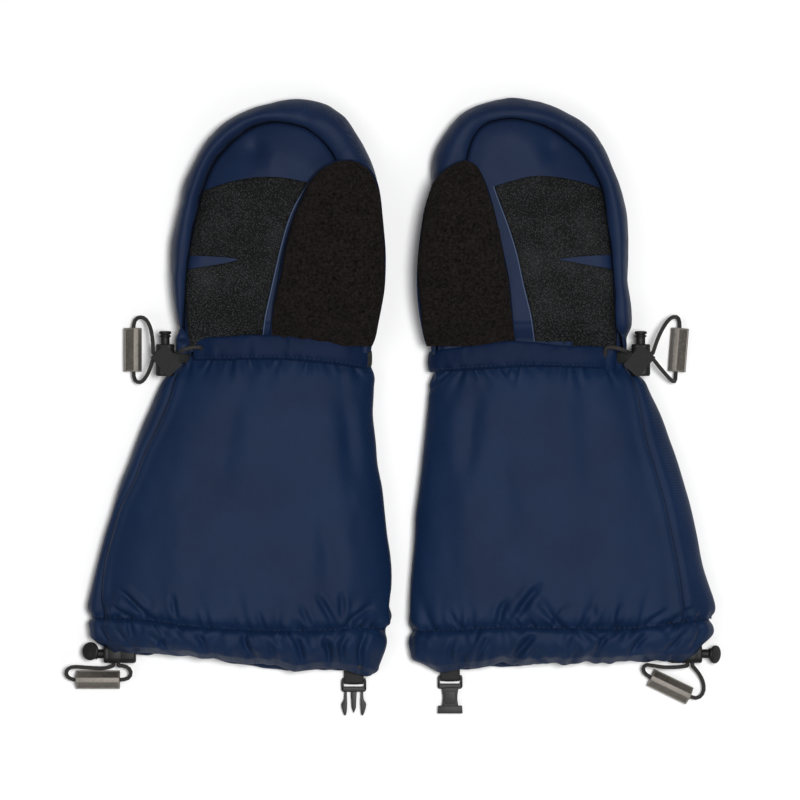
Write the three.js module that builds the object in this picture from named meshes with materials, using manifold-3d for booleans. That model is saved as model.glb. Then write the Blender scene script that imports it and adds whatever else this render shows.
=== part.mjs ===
// A pair of long-cuffed insulated winter mittens, lying palm up on their backs, fingertips towards +Y.
// Each mitten: a padded hand with a fleece thumb and a grip patch, a gathered wrist with a drawcord,
// cord lock and bead, a long gauntlet cuff with a gathered hem, a second drawcord, lock and bead,
// and one half of a small side-release buckle, so that the pair clips together.
// Millimetres, +Z up. The right-hand mitten is at -X, the left-hand mitten is its mirror image at +X.
import * as THREE from "three";
import { mergeVertices } from "three/addons/utils/BufferGeometryUtils.js";
import Module from "manifold-3d";

const wasm = await Module();
wasm.setup();

// ---------------------------------------------------------------- driving dimensions (mm)
const K = 0.515; // one drafting unit in mm: outlines below are drafted on a grid of this pitch
const AXIS_X = 403; // drafting grid: mirror line between the two mittens
const AXIS_Y = 400;
const SHELL = 1.2; // outer fabric with its backing
const LINING = 2.0; // quilted lining
const GAP = 0.4;
const CORD_R = 1.0; // elastic drawcord radius
const BAND_Y0 = 20.4; // wrist casing, lower edge
const BAND_Y1 = 33.4; // wrist casing, upper edge
const WRIST_Y = 34.0; // hand and cuff meet here
const HAND_TOP = 27.6; // height of the hand's palm side
const WEB_W = 10; // webbing width
const WEB_T = 1.2;
const BEAD_L = 22.6;
const BEAD_R = 6.1;
const BEAD_BORE = 1.55;
const LOCK_TRAVEL = 3;
const N = 16; // sides of the fabric rings

const gx = (u) => (u - AXIS_X) * K;
const gy = (v) => (AXIS_Y - v) * K;

// ---------------------------------------------------------------- small helpers
const lerp = (a, b, t) => a + (b - a) * t;
// piecewise-linear table lookup with smoothing through Catmull-Rom
function table(pairs) {
  const c = new THREE.SplineCurve(pairs.map(([k, v]) => new THREE.Vector2(k, v)));
  const pts = c.getPoints(pairs.length * 10);
  return (k) => {
    if (k <= pts[0].x) return pts[0].y;
    for (let i = 1; i < pts.length; i++)
      if (k <= pts[i].x) {
        const t = (k - pts[i - 1].x) / Math.max(pts[i].x - pts[i - 1].x, 1e-9);
        return lerp(pts[i - 1].y, pts[i].y, t);
      }
    return pts[pts.length - 1].y;
  };
}
const up = (rows, f) => table(rows.map(([v, u]) => [f(v), u]).sort((a, b) => a[0] - b[0]));

function solid(geometry) {
  const g = geometry.clone();
  g.deleteAttribute("normal");
  g.deleteAttribute("uv");
  const m = mergeVertices(g, 1e-4);
  const s = new wasm.Manifold(
    new wasm.Mesh({
      numProp: 3,
      vertProperties: new Float32Array(m.attributes.position.array),
      triVerts: new Uint32Array(m.index.array),
    }),
  );
  if (s.volume() < 0) throw new Error("inside out");
  return s;
}
function geometryOf(s) {
  const m = s.getMesh();
  const g = new THREE.BufferGeometry();
  const n = m.numProp;
  const v = new Float32Array(m.numVert * 3);
  for (let i = 0; i < m.numVert; i++) v.set(m.vertProperties.subarray(i * n, i * n + 3), i * 3);
  g.setAttribute("position", new THREE.BufferAttribute(v, 3));
  g.setIndex(new THREE.BufferAttribute(new Uint32Array(m.triVerts), 1));
  return g;
}
// solid from a stack of rings: rings[i] is a list of points, all of one length, ends closed by fans
function loft(rings) {
  const n = rings[0].length;
  const pos = [];
  const idx = [];
  rings.forEach((r) => r.forEach((p) => pos.push(p.x, p.y, p.z)));
  for (let i = 0; i + 1 < rings.length; i++)
    for (let j = 0; j < n; j++) {
      const a = i * n + j, b = i * n + ((j + 1) % n), c = a + n, d = b + n;
      idx.push(a, b, d, a, d, c);
    }
  const cap = (k, flip) => {
    const c = rings[k].reduce((s, p) => s.add(p), new THREE.Vector3()).multiplyScalar(1 / n);
    const ci = pos.length / 3;
    pos.push(c.x, c.y, c.z);
    for (let j = 0; j < n; j++) {
      const a = k * n + j, b = k * n + ((j + 1) % n);
      flip ? idx.push(ci, b, a) : idx.push(ci, a, b);
    }
  };
  cap(0, true);
  cap(rings.length - 1, false);
  const g = new THREE.BufferGeometry();
  g.setAttribute("position", new THREE.BufferAttribute(new Float32Array(pos), 3));
  g.setIndex(idx);
  const s = new wasm.Manifold(
    new wasm.Mesh({ numProp: 3, vertProperties: new Float32Array(pos), triVerts: new Uint32Array(idx) }),
  );
  if (s.volume() >= 0) return s;
  const rev = [];
  for (let i = 0; i < idx.length; i += 3) rev.push(idx[i], idx[i + 2], idx[i + 1]);
  return new wasm.Manifold(
    new wasm.Mesh({ numProp: 3, vertProperties: new Float32Array(pos), triVerts: new Uint32Array(rev) }),
  );
}
const shape = (pts) => new THREE.Shape(pts.map(([x, y]) => new THREE.Vector2(x, y)));
function prism(pts, z0, z1) {
  const g = new THREE.ExtrudeGeometry(shape(pts), { depth: z1 - z0, bevelEnabled: false, steps: 1 });
  g.translate(0, 0, z0);
  return solid(g);
}
function box(x0, x1, y0, y1, z0, z1) {
  const g = new THREE.BoxGeometry(x1 - x0, y1 - y0, z1 - z0);
  g.translate((x0 + x1) / 2, (y0 + y1) / 2, (z0 + z1) / 2);
  return solid(g);
}
function smoothClosed(pts, n) {
  const c = new THREE.CatmullRomCurve3(pts.map(([x, y]) => new THREE.Vector3(x, y, 0)), true, "centripetal");
  return c.getSpacedPoints(n).slice(0, n).map((p) => [p.x, p.y]);
}
// round tube along a curve, closed ends
function tube(points, r, k, sides = 6) {
  const curve = new THREE.CatmullRomCurve3(points.map((p) => new THREE.Vector3(...p)), false, "centripetal");
  // k equal steps between neighbouring points, so that every listed point is met
  curve.getPointAt = (u, t) => curve.getPoint(u, t);
  curve.getTangentAt = (u, t) => curve.getTangent(u, t);
  const steps = k * (points.length - 1);
  const s = new THREE.Shape();
  for (let i = 0; i < sides; i++) {
    const a = (i / sides) * Math.PI * 2;
    i ? s.lineTo(r * Math.cos(a), r * Math.sin(a)) : s.moveTo(r * Math.cos(a), r * Math.sin(a));
  }
  s.closePath();
  return new THREE.ExtrudeGeometry(s, { steps, bevelEnabled: false, extrudePath: curve });
}

// ---------------------------------------------------------------- hand and cuff forms (right-hand mitten, grid units)
const handL = up([[336, 181], [320, 176], [308, 174.5], [284, 171.5], [260, 170.5], [236, 172.5], [212, 177], [188, 184], [164, 192.5], [152, 197.5], [140, 205], [128, 216], [116, 232], [106, 256], [99, 284], [97.5, 291]], gy);
const handR = up([[336, 370], [320, 371], [308, 372], [284, 373], [260, 374], [236, 375], [212, 376.5], [188, 377.5], [176, 376], [164, 372], [152, 366], [140, 360], [128, 352.5], [116, 344], [106, 330], [99, 307], [97.5, 300]], gy);
const cuffL = up([[334, 181], [345, 184], [354, 183.5], [362, 178], [370, 171], [380, 163], [392, 157], [404, 152], [428, 142], [452, 132], [476, 123], [500, 115.5], [524, 108], [548, 101.5], [572, 95], [596, 89.5], [608, 88.5], [620, 90], [632, 94], [645, 101], [656, 107], [668, 112]], gy);
const cuffR = up([[334, 370.5], [345, 370], [354, 369], [362, 371], [372, 374.5], [380, 374.5], [428, 373.5], [452, 376], [476, 380], [500, 384], [524, 387], [548, 390], [572, 391], [596, 390], [620, 388.5], [632, 386], [644, 382.5], [656, 379.5], [668, 376]], gy);
// heights: top and bottom of the outer surface, and the level of the widest point
const handTop = table([[34, 24.6], [42, 26.4], [56, 27.4], [80, 27.6], [110, 27.4], [132, 26.4], [146, 24], [153, 20.6], [155.6, 17.5]]);
const handBot = table([[34, 4.8], [40, 3.2], [50, 1.0], [60, 0], [80, 0], [110, 0], [132, 0], [144, 1.6], [152, 5.2], [155.6, 9]]);
const handMid = table([[34, 10.5], [50, 10.5], [80, 11], [130, 11], [150, 12], [155.6, 13]]);
const cuffTop = table([[-140, 21], [-134, 23.5], [-124, 27], [-110, 31.5], [-90, 33.5], [-60, 33.5], [-30, 31.5], [0, 28.5], [12, 26], [20, 24.6], [34, 24.6]]);
const cuffBot = table([[-140, 2.4], [-134, 1.0], [-126, 0], [-60, 0], [-20, 0], [0, 0], [8, 1.2], [15, 3.6], [20, 4.8], [34, 4.8]]);
const cuffMid = table([[-140, 11], [-110, 12], [-60, 11.5], [0, 10.5], [34, 10.5]]);
const hemShear = table([[-140, 0.07], [-115, 0.065], [-80, 0.03], [-40, 0.0], [0, 0], [34, 0.0]]);

// ring of points of a flattened oval section at station y, moved outwards by off
function ringPoint(form, y, ang, off) {
  const L = gx(form.l(y)) - off, R = gx(form.r(y)) + off;
  const cx = (L + R) / 2, a = (R - L) / 2;
  const top = form.top(y) + off, bot = Math.max(form.bot(y), 0) - off, mid = form.mid(y);
  const c = Math.cos(ang), s = Math.sin(ang);
  const x = cx + a * Math.sign(c) * Math.abs(c) ** (2 / form.nx);
  const z = s >= 0 ? mid + (top - mid) * Math.abs(s) ** (2 / form.nt) : Math.max(mid - (mid - bot) * 1.14 * Math.abs(s) ** (2 / form.nb), bot);
  const sh = form.shear ? form.shear(y) : 0;
  return new THREE.Vector3(x, y - sh * (x - cx), z);
}
const ring = (form, y, off, n = N) => Array.from({ length: n }, (_, i) => ringPoint(form, y, ((i + 0.5) / n) * Math.PI * 2, off));
// the ring's own corner number j, counted from the +X side
const corner = (form, y, j, off, n = N) => ringPoint(form, y, ((j + 0.5) / n) * Math.PI * 2, off);
const HAND = { l: handL, r: handR, top: handTop, bot: handBot, mid: handMid, nx: 2.4, nt: 2.6, nb: 3.0 };
const CUFF = { l: cuffL, r: cuffR, top: cuffTop, bot: cuffBot, mid: cuffMid, shear: hemShear, nx: 2.6, nt: 2.3, nb: 3.2 };
const skin = (form, ys, off, n = N) => loft(ys.map((y) => ring(form, y, off, n)));
// closed-ended form: stations slide towards the root when the tip is drawn in
const bagYs = (ys, tip) => ys.map((y) => ys[0] + ((y - ys[0]) * (ys[ys.length - 1] - tip - ys[0])) / (ys[ys.length - 1] - ys[0]));
const bag = (form, ys, off, tip, lead = 0, n = N) => skin(form, (lead ? [ys[0] - lead] : []).concat(bagYs(ys, tip)), off, n);

// ---------------------------------------------------------------- hand
const HAND_YS = [34.3, 46, 70, 104, 130, 145, 155.2];
const seamIn = [[185, 352], [184.5, 300], [184, 271], [188, 243], [193.7, 214], [200, 189], [210, 164], [227, 141], [246, 126], [265, 121], [288, 122], [307.5, 127], [323, 136], [334, 150], [345, 172], [356, 200], [362, 240], [364, 290], [362, 352]];
const inset = (pts, d) => {
  const c = pts.reduce((q, p) => [q[0] + p[0] / pts.length, q[1] + p[1] / pts.length], [0, 0]);
  return pts.map(([x, y]) => {
    const l = Math.hypot(x - c[0], y - c[1]);
    return [x - ((x - c[0]) / l) * d, y - ((y - c[1]) / l) * d];
  });
};
const palmPoly = seamIn.map(([a, b]) => [gx(a), gy(b)]);
const ellipse = (cx, cy, a, b, n = 16) => Array.from({ length: n }, (_, i) => [cx + a * Math.cos((i / n) * 2 * Math.PI), cy + b * Math.sin((i / n) * 2 * Math.PI)]);
const HOLE = [gx(322), gy(308), 19, 13]; // where the thumb opens into the palm
const handWall = bag(HAND, HAND_YS, 0, 0).subtract(bag(HAND, HAND_YS, -SHELL, 2.2, 5));
const palmHole = prism(ellipse(...HOLE), 12, 36);
const handBackShell = handWall.subtract(prism(palmPoly, 12, 60));
const palmPanel = handWall.intersect(prism(inset(palmPoly, 0.4), 12.4, 60)).subtract(palmHole);
const LI_YS = bagYs(HAND_YS, 2.2).slice(0, -1);
const handLining = skin(HAND, LI_YS, -SHELL - GAP).subtract(skin(HAND, [LI_YS[0] - 5, ...LI_YS.slice(0, -1), LI_YS[5] - 2.4], -SHELL - GAP - LINING)).subtract(palmHole);

const patchPts = [[189, 338], [187.5, 300], [187, 272], [188, 268], [205, 267.5], [222, 264.5], [240, 261], [222, 257.5], [205, 256.5], [190, 256], [191, 243], [196, 214], [202, 192], [225, 183.5], [254, 178.5], [283, 179.5], [306, 184.5], [300, 200], [283, 254], [271, 296], [264, 332], [263, 338]];
const patchBand = bag(HAND, HAND_YS, 1.5, -0.01).subtract(bag(HAND, HAND_YS, 0.35, 0, 5));
const gripPatch = patchBand.intersect(prism(patchPts.map(([a, b]) => [gx(a), gy(b)]), 14, 60)).intersect(box(-300, 0, 34.8, 134, 0, 60));

// ---------------------------------------------------------------- thumb: a slim padded bag lying on the palm
const thL = up([[350, 272], [344, 267], [334, 264.5], [300, 269], [262, 276.5], [227, 286], [213, 293], [199, 301], [184, 310], [173, 320], [166, 331], [162.5, 341], [161, 347]], gy);
const thR = up([[350, 373], [344, 376], [334, 378.5], [319, 381], [300, 383.5], [281, 385], [243, 385], [204, 383], [190, 380.5], [181, 377], [172, 371.5], [166, 365], [162.5, 357.5], [161, 352]], gy);
const TH_Z0 = 29.5;
const thTop = table([[25.5, 38.0], [30, 40.5], [40, 43.0], [60, 44.6], [90, 44.6], [110, 42.8], [118, 40.2], [123, 36.8]]);
const thBot = table([[25.5, TH_Z0 + 0.9], [30, TH_Z0 + 0.3], [40, TH_Z0], [60, TH_Z0], [90, TH_Z0], [110, TH_Z0], [118, TH_Z0 + 0.7], [123, TH_Z0 + 2.3]]);
const thMid = table([[25.5, 34.6], [60, 35.6], [110, 35.4], [123, 34.6]]);
const THUMB = { l: thL, r: thR, top: thTop, bot: thBot, mid: thMid, nx: 2.2, nt: 2.2, nb: 2.8 };
const TH_YS = [35.4, 39, 56, 84, 106, 117, 122.6];
const TH_WALL = 1.8, TH_N = 14;
const thHole = (k) => prism(ellipse(HOLE[0], HOLE[1] + 1, HOLE[2] - 3 - k, HOLE[3] - 2 - k), 12, 35.2);
const thumbWall = bag(THUMB, TH_YS, 0, 0, 0, TH_N).subtract(skin(THUMB, bagYs(TH_YS, 4.2).map((y, i) => (i ? y : 37.6)), -TH_WALL, TH_N));
const thumbFleece = thumbWall.intersect(box(-300, 0, 0, 200, 34.2, 60));
const thumbUnderside = thumbWall.intersect(box(-300, 0, 0, 200, 0, 33.8)).subtract(thHole(0));
const thLinYs = bagYs(TH_YS, 5.4).map((y, i) => (i ? y + 0.3 : 38.2));
const thumbLining = skin(THUMB, thLinYs, -TH_WALL - GAP, TH_N).subtract(skin(THUMB, bagYs(TH_YS, 9.2).map((y, i) => (i > 1 ? y + 0.4 : 39.8 + i * 1.2)), -TH_WALL - GAP - 1.2, TH_N)).subtract(thHole(0));
const THUMB_PIVOT = [gx(374), 34.6, 35];

// ---------------------------------------------------------------- cuff
const STITCH_Y = -115.5, HEM_Y = -134;
const CUFF_YS = [BAND_Y1, 27, BAND_Y0, 8, -20, -55, -90, STITCH_Y];
const lead = (ys, a, b) => [ys[0] + a, ...ys, ys[ys.length - 1] - b];
const cuffWall = skin(CUFF, CUFF_YS, 0).subtract(skin(CUFF, lead(CUFF_YS, 6, 6), -SHELL));
const seamC = [[181.5, 330], [183, 345], [183.5, 356], [180.5, 364], [167.5, 399], [158, 426], [144.5, 458.6], [129, 500], [115.5, 536.6], [106.5, 578], [103.5, 614.7], [104, 650]];
const cuffPoly = (d) => [...seamC.map(([a, b]) => [gx(a) + 1.2 + d, gy(b)]), [60, gy(650)], [60, gy(330)]];
const cuffBackPanel = cuffWall.subtract(prism(cuffPoly(0), 11.4, 60));
const cuffPalmPanel = cuffWall.intersect(prism(cuffPoly(0.4), 11.8, 60));
const LIN_YS = [...CUFF_YS.slice(0, -1), STITCH_Y + 0.4];
const cuffLining = skin(CUFF, LIN_YS, -SHELL - GAP).subtract(skin(CUFF, lead(LIN_YS, 6, 6), -SHELL - GAP - 1.6));

// wrist casings: flat tunnels round the cuff for the upper drawcord
const BAND_YS = [BAND_Y1, 27, BAND_Y0];
const CAS_T = 4.6;
const casingAll = skin(CUFF, BAND_YS, CAS_T).subtract(skin(CUFF, lead(BAND_YS, 4, 4), GAP));
const tunnelAll = skin(CUFF, [BAND_Y1 - 1.2, 27, BAND_Y0 + 1.2], CAS_T - 0.8).subtract(skin(CUFF, [BAND_Y1 + 2, 27, BAND_Y0 - 2], GAP + 0.6));
const casing = casingAll.subtract(tunnelAll);
const wristCasingPalm = casing.intersect(box(gx(198), gx(363), 0, 60, 12, 60));
const wristCasingBack = casing.intersect(box(gx(196), gx(360), 0, 60, -20, 7.4));

// hem: a folded channel that holds the lower drawcord
const HEM_D = 5.4;
const HEM_YS = [STITCH_Y - 0.4, -121, -129, HEM_Y];
const HEM_CORD_Y = -125.6;
// hem cord lock position, plunger towards -X
const HL = { x: gx(114.6) + 10.3, y: gy(655), z: 9.0 };
const LOCK_H = 16.4, LOCK_W = 9.6, LOCK_D = 8, BORE_R = 2.95, STEM_R = 2.6;
const CORD_Y0 = 10.3; // centre of the cord way above the foot of the lock
const chYs = [STITCH_Y - 1.6, -121, -129, HEM_Y + 1.2];
const hemCasing = skin(CUFF, HEM_YS, 0)
  .subtract(skin(CUFF, lead(HEM_YS, 4, 4), -HEM_D))
  .subtract(skin(CUFF, chYs, -1).subtract(skin(CUFF, lead(chYs, 1, 2), -HEM_D + 1)))
  .subtract(box(-200, HL.x + 0.7, -160, HL.y + LOCK_W / 2 + 0.6, -1, HL.z + LOCK_D / 2 + 0.5))
  .subtract(box(HL.x - 10.3 - 3, HL.x - 4.5, -160, HL.y + LOCK_W / 2 + 6, HL.z - 5, HL.z + 4));

// ---------------------------------------------------------------- cord lock, in its own frame: +Y is the plunger's end, X the cord's way
function lockBody() {
  const w = LOCK_W / 2 - 0.7, d = LOCK_D / 2 - 0.7, r = 2.6;
  const s = new THREE.Shape();
  s.moveTo(-w + r, -d);
  s.lineTo(w - r, -d); s.quadraticCurveTo(w, -d, w, -d + r);
  s.lineTo(w, d - r); s.quadraticCurveTo(w, d, w - r, d);
  s.lineTo(-w + r, d); s.quadraticCurveTo(-w, d, -w, d - r);
  s.lineTo(-w, -d + r); s.quadraticCurveTo(-w, -d, -w + r, -d);
  const g = new THREE.ExtrudeGeometry(s, { depth: LOCK_H - 1.4, bevelEnabled: true, bevelThickness: 0.7, bevelSize: 0.7, bevelSegments: 1, curveSegments: 2 });
  g.rotateX(-Math.PI / 2);
  g.translate(0, 0.7, 0);
  const bore = new THREE.CylinderGeometry(BORE_R + 0.1, BORE_R + 0.1, LOCK_H, 12);
  bore.translate(0, LOCK_H / 2 + 2.0, 0);
  return solid(g).subtract(solid(bore)).subtract(box(-20, 20, CORD_Y0 - 2.7, CORD_Y0 + 2.7, -1.5, 1.5));
}
function lockPlunger() {
  const cyl = (r0, r1, y0, y1) => {
    const c = new THREE.CylinderGeometry(r1, r0, y1 - y0, 12);
    c.translate(0, (y0 + y1) / 2, 0);
    return solid(c);
  };
  return cyl(STEM_R, STEM_R, 6.3, 21.6)
    .add(cyl(3.1, 3.1, 20.1, 20.9))
    .add(cyl(3.6, 3.3, 21.5, 23.2))
    .subtract(box(-20, 20, CORD_Y0 - 2.6, CORD_Y0 + 2.6 + LOCK_TRAVEL, -1.45, 1.45));
}
function lockSpring() {
  const pts = [];
  const turns = 2, y0 = 2.6, y1 = 5.75;
  for (let i = 0; i <= turns * 8; i++) {
    const a = (i / 8) * 2 * Math.PI;
    pts.push([1.9 * Math.cos(a), lerp(y0, y1, i / (turns * 8)), 1.9 * Math.sin(a)]);
  }
  return tube(pts, 0.25, 1, 4);
}

// ---------------------------------------------------------------- bead: a three-sided metal toggle with cut corners and a round bore, along local X
function beadGeometry() {
  const v = (t) => [BEAD_R * 1.14 * Math.cos(t), BEAD_R * 1.14 * Math.sin(t)];
  const s = new THREE.Shape();
  for (let i = 0; i < 3; i++) {
    const t = -Math.PI / 2 + (i * 2 * Math.PI) / 3;
    const [a, p, q] = [v(t), v(t - (2 * Math.PI) / 3), v(t + (2 * Math.PI) / 3)];
    const e = [lerp(a[0], p[0], 0.2), lerp(a[1], p[1], 0.2)], f = [lerp(a[0], q[0], 0.2), lerp(a[1], q[1], 0.2)];
    i ? s.lineTo(...e) : s.moveTo(...e);
    s.lineTo(...f);
  }
  s.closePath();
  const h = new THREE.Path();
  h.absarc(0, 0, BEAD_BORE, 0, Math.PI * 2, true);
  s.holes.push(h);
  const g = new THREE.ExtrudeGeometry(s, { depth: BEAD_L, bevelEnabled: false, curveSegments: 6 });
  g.translate(0, 0, -BEAD_L / 2);
  g.rotateY(Math.PI / 2);
  return g;
}

// flat strip along 3-D points, its width across the path in the XY plane
function strip(points, w, t) {
  const rings = points.map((p, i) => {
    const a = new THREE.Vector3(...points[Math.max(i - 1, 0)]), b = new THREE.Vector3(...points[Math.min(i + 1, points.length - 1)]);
    const d = b.clone().sub(a).normalize();
    const s = new THREE.Vector3(-d.y, d.x, 0).normalize();
    const n = new THREE.Vector3().crossVectors(s, d).normalize();
    const q = (u, v) => new THREE.Vector3(...p).addScaledVector(s, u).addScaledVector(n, v);
    return [q(-w / 2, -t / 2), q(w / 2, -t / 2), q(w / 2, t / 2), q(-w / 2, t / 2)];
  });
  return loft(rings);
}

// ================================================================ materials
const mat = (hex, rough, metal = 0) => new THREE.MeshStandardMaterial({ color: hex, roughness: rough, metalness: metal });
const M = {
  navy: mat(0x1f3358, 0.75),
  patch: mat(0x2a2b2e, 0.9),
  fleece: mat(0x1c1817, 0.95),
  lining: mat(0x26282e, 0.95),
  cord: mat(0x161616, 0.8),
  plastic: mat(0x1c1c1c, 0.45),
  webbing: mat(0x191b1a, 0.85),
  metal: mat(0x8a8175, 0.38, 0.85),
  spring: mat(0x9a9a9a, 0.3, 1),
};
function add(group, name, geometry, material) {
  const m = new THREE.Mesh(geometry.isBufferGeometry ? geometry : geometryOf(geometry), material);
  m.name = name;
  group.add(m);
  return m;
}

// ================================================================ one mitten, drafted as the right-hand one
const WL = { x: gx(165.2), y: gy(376), z: 20.0 }; // foot of the wrist lock, plunger towards +Y
const WCY = WL.y + CORD_Y0;
const LOOP_START = CORD_R + 0.35; // clear of the lock's face so that the loop can swing
const HCX = HL.x - CORD_Y0;

// loop of cord through a bead: bead centre and its direction, then the free points either side (drafting units, height in mm)
function cordLoop(start, end, lead1, bead, lead2) {
  const c = new THREE.Vector3(gx(bead[0]), gy(bead[1]), bead[2]);
  const d = new THREE.Vector3(Math.cos(bead[3]), Math.sin(bead[3]), bead[4] || 0).normalize();
  const along = [-0.54, -0.25, 0, 0.25, 0.54].map((k) => c.clone().addScaledVector(d, k * BEAD_L));
  const P = (q) => new THREE.Vector3(gx(q[0]), gy(q[1]), q[2]);
  const pts = [start, ...lead1.map(P), ...along, ...lead2.map(P), end].map((p) => (p.isVector3 ? [p.x, p.y, p.z] : p));
  return { tube: tube(pts, CORD_R, 2), centre: c, dir: d, pts };
}
const log = {};

function mitten(side, spec) {
  const g = new THREE.Group();
  const P = side + "_";
  add(g, P + "hand_back_shell", handBackShell, M.navy);
  add(g, P + "palm_panel", palmPanel, M.navy);
  add(g, P + "grip_patch", gripPatch, M.patch);
  add(g, P + "hand_lining", handLining, M.lining);
  add(g, P + "thumb_fleece", thumbFleece, M.fleece);
  add(g, P + "thumb_underside", thumbUnderside, M.navy);
  add(g, P + "thumb_lining", thumbLining, M.lining);
  add(g, P + "cuff_palm_panel", cuffPalmPanel, M.navy);
  add(g, P + "cuff_back_panel", cuffBackPanel, M.navy);
  add(g, P + "cuff_lining", cuffLining, M.lining);
  add(g, P + "wrist_casing_palm", wristCasingPalm, M.navy);
  add(g, P + "wrist_casing_back", wristCasingBack, M.navy);
  add(g, P + "hem_casing", hemCasing, M.navy);

  // wrist drawcord: both ends in the lock, one run across the palm, round the thumb side and back across the back
  const o = (GAP + 0.6 + CAS_T - 0.8) / 2 - 0.1;
  const at = (j, y = 27, off = o) => corner(CUFF, y, j, off).toArray();
  const run = (f, from, to) => Array.from({ length: from - to + 1 }, (_, i) => f(from - i));
  const fx = WL.x + LOCK_W / 2;
  add(g, P + "wrist_drawcord", tube([
    [WL.x - LOCK_W / 2 + 0.2, WCY + 1.3, WL.z],
    [WL.x, WCY + 1.3, WL.z],
    [fx, WCY + 1.3, WL.z],
    [fx + 2.6, WCY + 2.2, WL.z - 0.2],
    ...run(at, 6, -7),
    at(-8, 25.2), at(-9, 23.2, o + 0.6),
    [fx + 1.4, WCY - 1.6, WL.z - 1.8],
    [fx, WCY - 1.3, WL.z],
    [WL.x, WCY - 1.3, WL.z],
    [WL.x - LOCK_W / 2 + 0.2, WCY - 1.3, WL.z],
  ], CORD_R, 1), M.cord);

  const wl = new THREE.Group();
  wl.position.set(WL.x, WL.y, WL.z);
  add(wl, P + "wrist_lock_body", lockBody(), M.plastic);
  add(wl, P + "wrist_lock_plunger", lockPlunger(), M.plastic);
  add(wl, P + "wrist_lock_spring", lockSpring(), M.spring);
  g.add(wl);
  const tz = WL.z + LOCK_D / 2 + WEB_T / 2 + 0.35;
  add(g, P + "wrist_lock_tab", strip([[gx(158.5), gy(351), tz], [gx(165.5), gy(359), tz], [gx(171.5), gy(366), tz], [gx(176), gy(371.2), tz - 0.2]], WEB_W, WEB_T), M.webbing);

  // hem drawcord in its channel, both ends through the hem lock
  const HO = -2.7;
  const ht = (j, y = HEM_CORD_Y, off = HO) => corner(CUFF, y, j, off).toArray();
  const fy = HL.y + LOCK_W / 2;
  add(g, P + "hem_drawcord", tube([
    [HCX - 1.3, HL.y - LOCK_W / 2 + 0.2, HL.z],
    [HCX - 1.3, HL.y, HL.z],
    [HCX - 1.3, fy + 0.6, HL.z],
    ...run(ht, 7, -8),
    [HCX + 1.3, fy + 1.6, HL.z - 0.6],
    [HCX + 1.3, fy, HL.z],
    [HCX + 1.3, HL.y, HL.z],
    [HCX + 1.3, HL.y - LOCK_W / 2 + 0.2, HL.z],
  ], CORD_R, 1), M.cord);
  const hl = new THREE.Group();
  hl.position.set(HL.x, HL.y, HL.z);
  hl.rotation.z = Math.PI / 2;
  add(hl, P + "hem_lock_body", lockBody(), M.plastic);
  add(hl, P + "hem_lock_plunger", lockPlunger(), M.plastic);
  add(hl, P + "hem_lock_spring", lockSpring(), M.spring);
  g.add(hl);

  // cord loops with their beads
  const wx = WL.x - LOCK_W / 2 - LOOP_START;
  const w = cordLoop([wx, WCY + 1.3, WL.z], [wx, WCY - 1.3, WL.z], spec.wrist1, spec.wristBead, spec.wrist2);
  add(g, P + "wrist_cord_loop", w.tube, M.cord);
  const hy = HL.y - LOCK_W / 2 - LOOP_START;
  const h = cordLoop([HCX - 1.3, hy, HL.z], [HCX + 1.3, hy, HL.z], spec.hem1, spec.hemBead, spec.hem2);
  add(g, P + "hem_cord_loop", h.tube, M.cord);
  for (const [n, q, roll] of [["wrist_bead", w, spec.wristRoll], ["hem_bead", h, spec.hemRoll]]) {
    const b = beadGeometry();
    b.rotateX(roll);
    b.applyQuaternion(new THREE.Quaternion().setFromUnitVectors(new THREE.Vector3(1, 0, 0), q.dir));
    b.translate(q.centre.x, q.centre.y, q.centre.z);
    add(g, P + n, b, M.metal);
    log[P + n] = { centre: q.centre.toArray(), dir: q.dir.toArray() };
  }
  log[P + "wrist_loop"] = w.pts;
  log[P + "hem_loop"] = h.pts;
  return g;
}

// ================================================================ buckle halves, each in its own frame: origin at the middle of its bar, tongue towards -Y
const BAR_R = 0.9, BK_HALF = 6.45, BK_T = 3.2;
const barCyl = () => {
  const c = new THREE.CylinderGeometry(BAR_R, BAR_R, 2 * BK_HALF - 0.4, 12);
  c.rotateZ(Math.PI / 2);
  return solid(c);
};
const sideRails = (y1, cross) => box(-BK_HALF, -WEB_W / 2 - 0.35, y1, 0.9, -1.5, 1.5).add(box(WEB_W / 2 + 0.35, BK_HALF, y1, 0.9, -1.5, 1.5)).add(box(-BK_HALF, BK_HALF, y1, y1 + cross, -BK_T / 2, BK_T / 2)).add(barCyl());
const maleFrame = sideRails(-6.2, 2.8).add(prism([[-1.5, -6.3], [-1.5, -6.1], [1.5, -6.1], [1.5, -6.3], [1.1, -14.5], [0, -17.2], [-1.1, -14.5]], -0.8, 0.8));
const latch = prism([[3.6, -6.6], [4.9, -6.6], [5.0, -10.4], [6.45, -12.2], [6.2, -15.2], [4.9, -18.4], [3.9, -18.0], [3.5, -14.5], [3.5, -11]], -1.2, 1.2);
const femaleBody = sideRails(-6.2, 2.8)
  .add(box(-3.9, 3.9, -15.4, -3.6, -2.1, 2.1))
  .add(prism([[-6.2, -15.2], [6.2, -15.2], [6.5, -18.9], [-6.5, -18.9]], -2.2, 2.2))
  .subtract(box(-2.4, 2.4, -30, -5.0, -1.05, 1.05))
  .subtract(box(-5.4, 5.4, -30, -14.9, -1.45, 1.45));
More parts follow.
